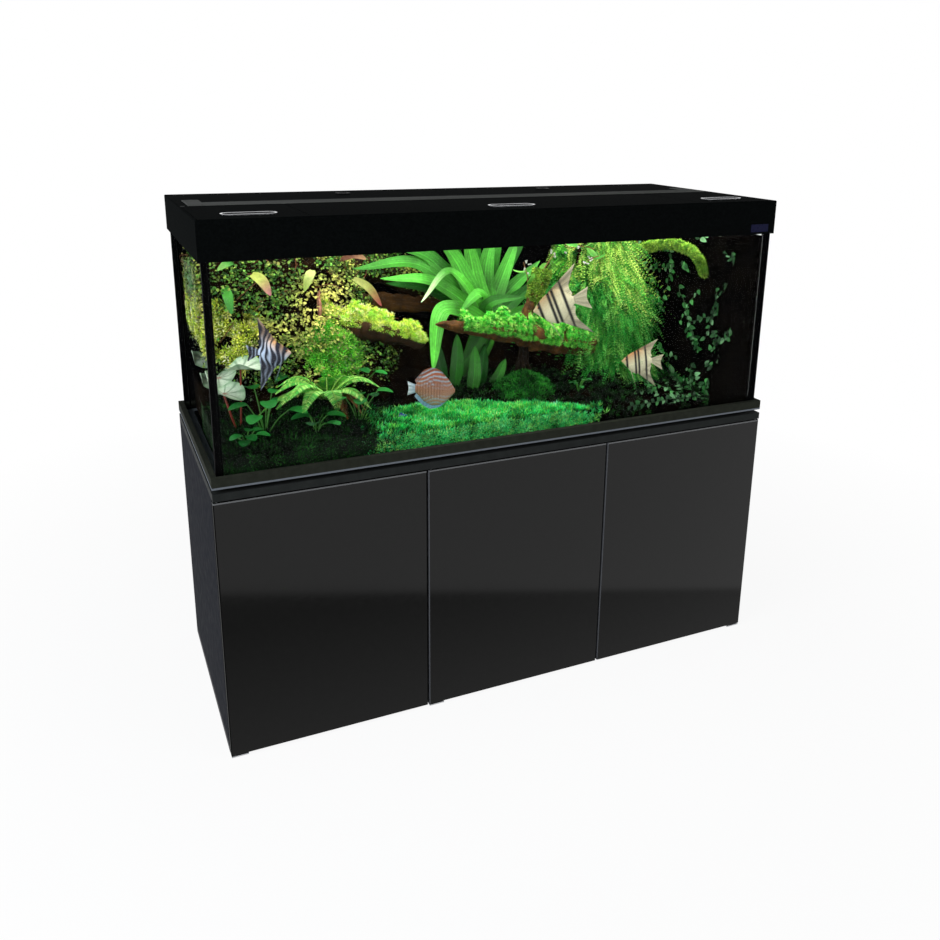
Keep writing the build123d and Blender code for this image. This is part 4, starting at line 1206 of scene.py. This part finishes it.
# Lines of back and belly: places and heights
ANGEL_BACK = ((0, 0.0), (0.12, 0.13), (0.35, 0.29), (0.58, 0.38), (0.78, 0.32), (0.92, 0.14), (1, 0.08))
ANGEL_BELLY = ((0, -0.03), (0.12, -0.16), (0.30, -0.37), (0.5, -0.47),
               (0.7, -0.39), (0.9, -0.16), (1, -0.08))
DISCUS_BACK = ((0, 0.0), (0.06, 0.13), (0.2, 0.32), (0.4, 0.46),
               (0.6, 0.48), (0.8, 0.36), (0.95, 0.15), (1, 0.10))
DISCUS_BELLY = ((0, -0.03), (0.08, -0.15), (0.2, -0.29), (0.4, -0.41),
                (0.6, -0.42), (0.8, -0.31), (0.95, -0.13), (1, -0.10))


def angelfish(name, snout, heading, tilt, length, codes, centres, half, dorsal, anal, marble=0.0):
    """Tall flat fish with swept fins, given by their tips; colours of body, crown and the dark bars."""
    thing = Fish(name, snout, heading, tilt, length)
    light, top_tone, bar_tone = (np.array(tone(code)) for code in codes)

    def paint(s, h):
        crown_share = ramp(h + 0.45 * (0.5 - s), -0.04, 0.32)
        crown_share = crown_share * np.maximum(ramp(s, 1.1, 0.5), 16 * marble * ramp(h, 0.3, 0.6))
        # Painted shade: the lower body is darker than the upper
        skin = mixed(light * (0.75 + 0.3 * ramp(h, -0.5, 0.2))[..., None], top_tone, 0.85 * crown_share)
        web = np.maximum(ramp(np.abs(h + 0.04), 0.38, 0.50), 0.6 * ramp(s, 0.98, 1.05))
        skin = skin * (1 - 0.45 * web)[..., None]
        swirl = marble * (np.sin(5 * h + 6 * s) + 0.5 * np.sin(11 * h - 9 * s + 1))
        width = half * (1 - 0.3 * web + 9 * swirl)
        return mixed(skin, bar_tone, bars(s + 0.10 * h + swirl, centres, width))

    thing.body(ANGEL_BACK, ANGEL_BELLY, 0.10, paint)
    for sign, (s, h), front in ((1, dorsal, 0.42), (-1, anal, 0.40)):
        root = ((front, sign * 0.33), (0.70, sign * 0.33), (0.94, sign * 0.11))
        thing.fin(root, ((s, h), (0.96, 0.47 * h), (0.99, sign * 0.16)), paint)
    thing.fin(((0.97, 0.08), (1.0, 0.0), (0.97, -0.08)),
              ((1.38, 0.22), (1.30, -0.04), (1.36, -0.32)), paint)
    thing.fin(((0.30, -0.34), (0.32, -0.36), (0.34, -0.38)),
              ((0.52, -0.95), (0.523, -0.955), (0.526, -0.96)), paint, 0.0)
    thing.eye(0.15, 0.04, 0.045, "d06a1c")
    thing.done()


def discus():
    """Round flat orange fish with blue lines."""
    thing = Fish("discus", (-0.148, -0.220, 0.826), FACING_RIGHT, -0.03, 0.098)

    def paint(s, h):
        warm = mixed(tone("8c4c30"), tone("a88468"), ramp(h, 0.35, -0.35))
        lines = ramp(np.sin(64 * h + 3 * np.sin(9 * s) + 12 * s), 0.2, 0.8)
        lines = lines * ramp(np.abs(h + 0.02), 0.04, 0.22)
        skin = mixed(warm, tone("8fb0c0"), 0.8 * lines)
        dark = ramp(np.sin(88 * s), 0.1, 0.9) * ramp(np.abs(h), 0.34, 0.15) * ramp(s, 0.28, 0.36)
        return mixed(skin, tone("6b3a24"), 0.6 * dark)

    def pale(s, h):
        return mixed(tone("7fa8c4"), tone("dfe6e8"), ramp(s, 0.9, 1.2))

    thing.body(DISCUS_BACK, DISCUS_BELLY, 0.11, paint)
    places = np.linspace(0.18, 0.97, 9)
    for line, sign, colour in ((DISCUS_BACK, 1, paint), (DISCUS_BELLY, -1, pale)):
        edge = eased(line, places)
        height = sign * 0.10 * np.sin(math.pi * (places - 0.18) / 1.05) ** 0.7
        root = np.stack((places, edge * 0.97), 1)
        thing.fin(root, np.stack((places * 1.05, edge + height), 1), colour, 0.008)
    thing.fin(((0.98, 0.10), (1.0, 0.0), (0.98, -0.10)), ((1.20, 0.19), (1.17, 0.0), (1.20, -0.19)), pale)
    thing.eye(0.17, 0.03, 0.05, "c8702a")
    thing.done()


def blue_fish():
    """Small blue fish near the carpet."""
    thing = Fish("blue_fish", (-0.268, -0.205, 0.772), FACING_RIGHT, 0.2, 0.024)

    def paint(s, h):
        share = np.clip((s - 0.35) * 3, 0, 1) * np.clip(0.4 - h, 0, 1)
        return mixed(tone("1c2f9a"), tone("c8d4ee"), share)

    thing.body(((0, 0.0), (0.3, 0.20), (0.7, 0.16), (1, 0.06)),
               ((0, -0.02), (0.3, -0.20), (0.7, -0.16), (1, -0.06)), 0.12, paint)
    thing.fin(((0.97, 0.06), (1.0, 0.0), (0.97, -0.06)), ((1.3, 0.24), (1.2, 0.0), (1.3, -0.24)), paint)
    thing.fin(((0.35, 0.19), (0.5, 0.19), (0.7, 0.15)), ((0.5, 0.40), (0.65, 0.36), (0.85, 0.26)), paint)
    thing.eye(0.16, 0.04, 0.06, "dfe6ee")
    thing.done()


angelfish("angelfish_marbled", (-0.546, -0.215, 0.960), FACING_RIGHT, 0.0, 0.074,
          ("ccdaf2", "e8a43c", "060a20"), (0.24, 0.40, 0.55, 0.70, 0.85, 1.02, 1.16, 1.30), 0.055,
          (0.98, 1.10), (1.0, -1.24), 0.05)
angelfish("angelfish_silver", (0.084, -0.180, 1.000), FACING_LEFT, -0.29, 0.108,
          ("f0e6be", "86602a", "060605"), (0.17, 0.45, 0.56, 0.80), 0.036, (1.22, 0.84), (1.26, -0.90))
angelfish("angelfish_amber", (0.359, -0.180, 0.841), FACING_LEFT, -0.02, 0.082,
          ("f0e6be", "b06a24", "070605"), (0.17, 0.45, 0.56, 0.80), 0.034, (1.16, 0.74), (1.16, -0.90))
discus()
blue_fish()


# Black seal: the bead's leg and its gap to the glass, half the joint, and the cover of the front pane's end
SEAL_LEG = 0.005
SEAL_GAP = 0.0003
JOINT_HALF = 0.0004
COVER_NEAR = 0.0002
COVER_FAR = 0.0008


def upright(growth, heights, corners):
    """Upright strip of a given cross section, with slightly uneven edges."""
    corners = np.asarray(corners)
    points = np.zeros((len(heights), len(corners), 3))
    points[:, :, :2] = corners
    points[:, :, 2] = heights[:, None]
    points[:, :, :2] += rough(points.reshape(-1, 3), 60.0, 0.0001, 91).reshape(points.shape[:2])[..., None]
    growth.add(points, grid_quads(len(heights), len(corners), wrap=True), np.array(tone("040405")))


def oblong(left, right, near, far):
    """Corners of an oblong."""
    return np.array(((left, near), (right, near), (right, far), (left, far)))


def glass_seal():
    """A bead inside each corner, and at the front the joint and the cover of the pane's end."""
    growth = Growth()
    side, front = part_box("panes_side")[1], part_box("panes_long")[1]
    inner_x = INNER_X + BED_CLEARANCE
    heights = np.linspace(GLASS_FLOOR, WATER_LEVEL + 0.006, 80)
    angle = np.linspace(0, math.pi / 2, 7)
    hollow = np.stack((np.sin(angle), np.cos(angle)), 1) * SEAL_LEG - SEAL_LEG
    bead = np.concatenate((((0, 0),), hollow)) + (inner_x - SEAL_GAP, side.y - SEAL_GAP)
    joint = oblong(inner_x, side.x, side.y - JOINT_HALF, side.y + JOINT_HALF)
    cover = oblong(side.x + COVER_NEAR, side.x + COVER_FAR, side.y, front.y)
    for sx in (-1, 1):
        for sy in (-1, 1):
            upright(growth, heights, bead * (sx, sy))
        upright(growth, heights, joint * (sx, -1))
        upright(growth, heights, cover * (sx, -1))
    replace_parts(growth.piece("glass_seal", RUBBER, "soft_black", smooth=False), "silicone_beads")


glass_seal()


def water():
    """Rippled surface of the water, just under the hood."""
    growth = Growth()
    columns, rows = 120, 46
    x, y = np.meshgrid(np.linspace(-INNER_X, INNER_X, columns), np.linspace(-INNER_Y, INNER_Y, rows))
    z = WATER_LEVEL + 0.0006 * np.sin(60 * x + 9 * np.sin(21 * y)) + 0.0005 * np.sin(80 * y + 30 * x)
    growth.add(np.stack((x, y, z), -1), grid_quads(rows, columns), np.ones(3))
    growth.piece("water_surface", glass_finish("water", "f4faf8", 0.01), "glass")


water()


# Floor, light and camera
def shown_share(tree):
    """1 for rays that see the background: straight from the camera, mirrored or through glass."""
    path = add_node(tree, "LightPath").outputs
    share = sum_value(tree, "MAXIMUM", path["Is Camera Ray"], path["Is Glossy Ray"])
    return sum_value(tree, "MAXIMUM", share, path["Is Transmission Ray"])


def add_world(ambient):
    """Soft light all round, and a white background."""
    world = bpy.data.worlds.new("studio")
    bpy.context.scene.world = world
    world.use_nodes = True
    tree = world.node_tree
    tree.nodes.clear()
    fill = add_node(tree, "Background", {"Color": (0.93, 0.96, 1, 1), "Strength": ambient})
    seen = add_node(tree, "Background", {"Color": (1, 1, 1, 1), "Strength": 1.0})
    show(tree, mixed_shader(tree, shown_share(tree), fill, seen), "OutputWorld")


def flat_stage(name, corners, material):
    """Flat piece of the stage."""
    mesh = bpy.data.meshes.new(name)
    mesh.from_pydata(corners, [], [tuple(range(len(corners)))])
    mesh.materials.append(material)
    thing = bpy.data.objects.new(name, mesh)
    bpy.context.scene.collection.objects.link(thing)
    return thing


# Distances from the middle between which the floor turns fully white
FLOOR_FADE = (1.0, 2.4)


def add_floor(reach, glow):
    """Pale floor that shows white to the camera and keeps the object's shadow."""
    material, tree = new_material("floor_paint")
    pale = {"Base Color": (0.9, 0.9, 0.9, 1), "Roughness": 0.9, "Specular IOR Level": 0.0}
    paint = add_node(tree, "BsdfPrincipled", pale)
    white = add_node(tree, "Emission", {"Strength": 1.0})
    place = add_node(tree, "TexCoord").outputs["Object"]
    away = add_node(tree, "VectorMath", {0: place}, operation="LENGTH").outputs["Value"]
    fade = range_value(tree, away, glow, 1.0, FLOOR_FADE)
    share = sum_value(tree, "MULTIPLY", fade, shown_share(tree))
    show(tree, mixed_shader(tree, share, paint, white))
    corners = ((-reach, -reach, 0), (reach, -reach, 0), (reach, reach, 0), (-reach, reach, 0))
    flat_stage("floor", corners, material)


def add_card(corners, near, far, soft):
    """Dark card on the floor that only gloss sees, as a photographer lays one before black lacquer."""
    material, tree = new_material("card_grey")
    place = add_node(tree, "TexCoord").outputs["Object"]
    depth = add_node(tree, "SeparateXYZ", {0: place}).outputs["Y"]
    level = range_value(tree, depth, near, far, (corners[0][1], corners[1][1] * 0.6))
    grey = add_node(tree, "Emission", {"Strength": level})
    edge = Vector(corners[2]) - Vector(corners[1])
    inward = Vector((-edge.y, edge.x, 0)).normalized()
    start = inward.dot(Vector(corners[1]))
    reach = add_node(tree, "VectorMath", {0: place, 1: inward}, operation="DOT_PRODUCT").outputs["Value"]
    cover = range_value(tree, reach, 0.0, 1.0, (start, start + soft), interpolation_type="SMOOTHSTEP")
    clear = add_node(tree, "BsdfTransparent")
    show(tree, mixed_shader(tree, cover, clear, grey))
    card = flat_stage("dark_card", corners, material)
    card.visible_camera = False
    card.visible_diffuse = False
    card.visible_shadow = False
    card.visible_transmission = False


def add_lamp(name, place, target, size, watts, colour):
    """Soft oblong lamp that shows neither to the camera nor in gloss."""
    light = bpy.data.lights.new(name, "AREA")
    light.shape = "RECTANGLE"
    light.size, light.size_y = size
    light.energy = watts
    light.color = colour
    lamp = bpy.data.objects.new(name, light)
    bpy.context.scene.collection.objects.link(lamp)
    lamp.location = place
    lamp.rotation_euler = (Vector(target) - Vector(place)).to_track_quat("-Z", "Y").to_euler()
    lamp.visible_camera = False
    lamp.visible_glossy = False


def add_camera():
    """Camera at the photograph's place."""
    camera = bpy.data.cameras.new("camera")
    camera.lens = CAMERA_LENS
    camera.sensor_width = CAMERA_SENSOR
    camera.shift_x, camera.shift_y = CAMERA_SHIFT
    thing = bpy.data.objects.new("camera", camera)
    bpy.context.scene.collection.objects.link(thing)
    level = math.cos(CAMERA_PITCH)
    ahead = Vector((math.sin(CAMERA_YAW) * level, math.cos(CAMERA_YAW) * level, math.sin(CAMERA_PITCH)))
    right = Vector((math.cos(CAMERA_YAW), -math.sin(CAMERA_YAW), 0))
    up = right.cross(ahead)
    turned = right * math.cos(CAMERA_ROLL) + up * math.sin(CAMERA_ROLL)
    raised = up * math.cos(CAMERA_ROLL) - right * math.sin(CAMERA_ROLL)
    axes = Matrix((turned, raised, -ahead)).transposed()
    thing.matrix_world = Matrix.Translation(CAMERA_PLACE) @ axes.to_4x4()
    bpy.context.scene.camera = thing


# Lamps: name, place, where it points, size, watts and colour
LAMPS = (
    ("hood_light", (0.0, -0.06, WATER_LEVEL - 0.006), (0.0, -0.06, 0.7), (1.40, 0.40), 7.0, (1, 0.99, 0.95)),
    ("soft_left", (-3.2, -1.2, 2.2), (0, 0, 0.7), (2.4, 2.4), 110.0, (0.9, 0.94, 1.0)),
    ("soft_front", (2.4, -3.0, 1.8), (0, 0, 0.7), (2.2, 1.8), 45.0, (1, 1, 1)),
)
CARD_CORNERS = ((-1.5, -0.31, 0.002), (-1.5, -1.46, 0.002), (1.38, -0.31, 0.002))

bpy.context.scene.view_settings.view_transform = "Standard"
add_world(ambient=0.22)
add_floor(reach=40.0, glow=0.92)
add_card(CARD_CORNERS, near=0.6, far=0.28, soft=0.05)
for lamp in LAMPS:
    add_lamp(*lamp)
add_camera()
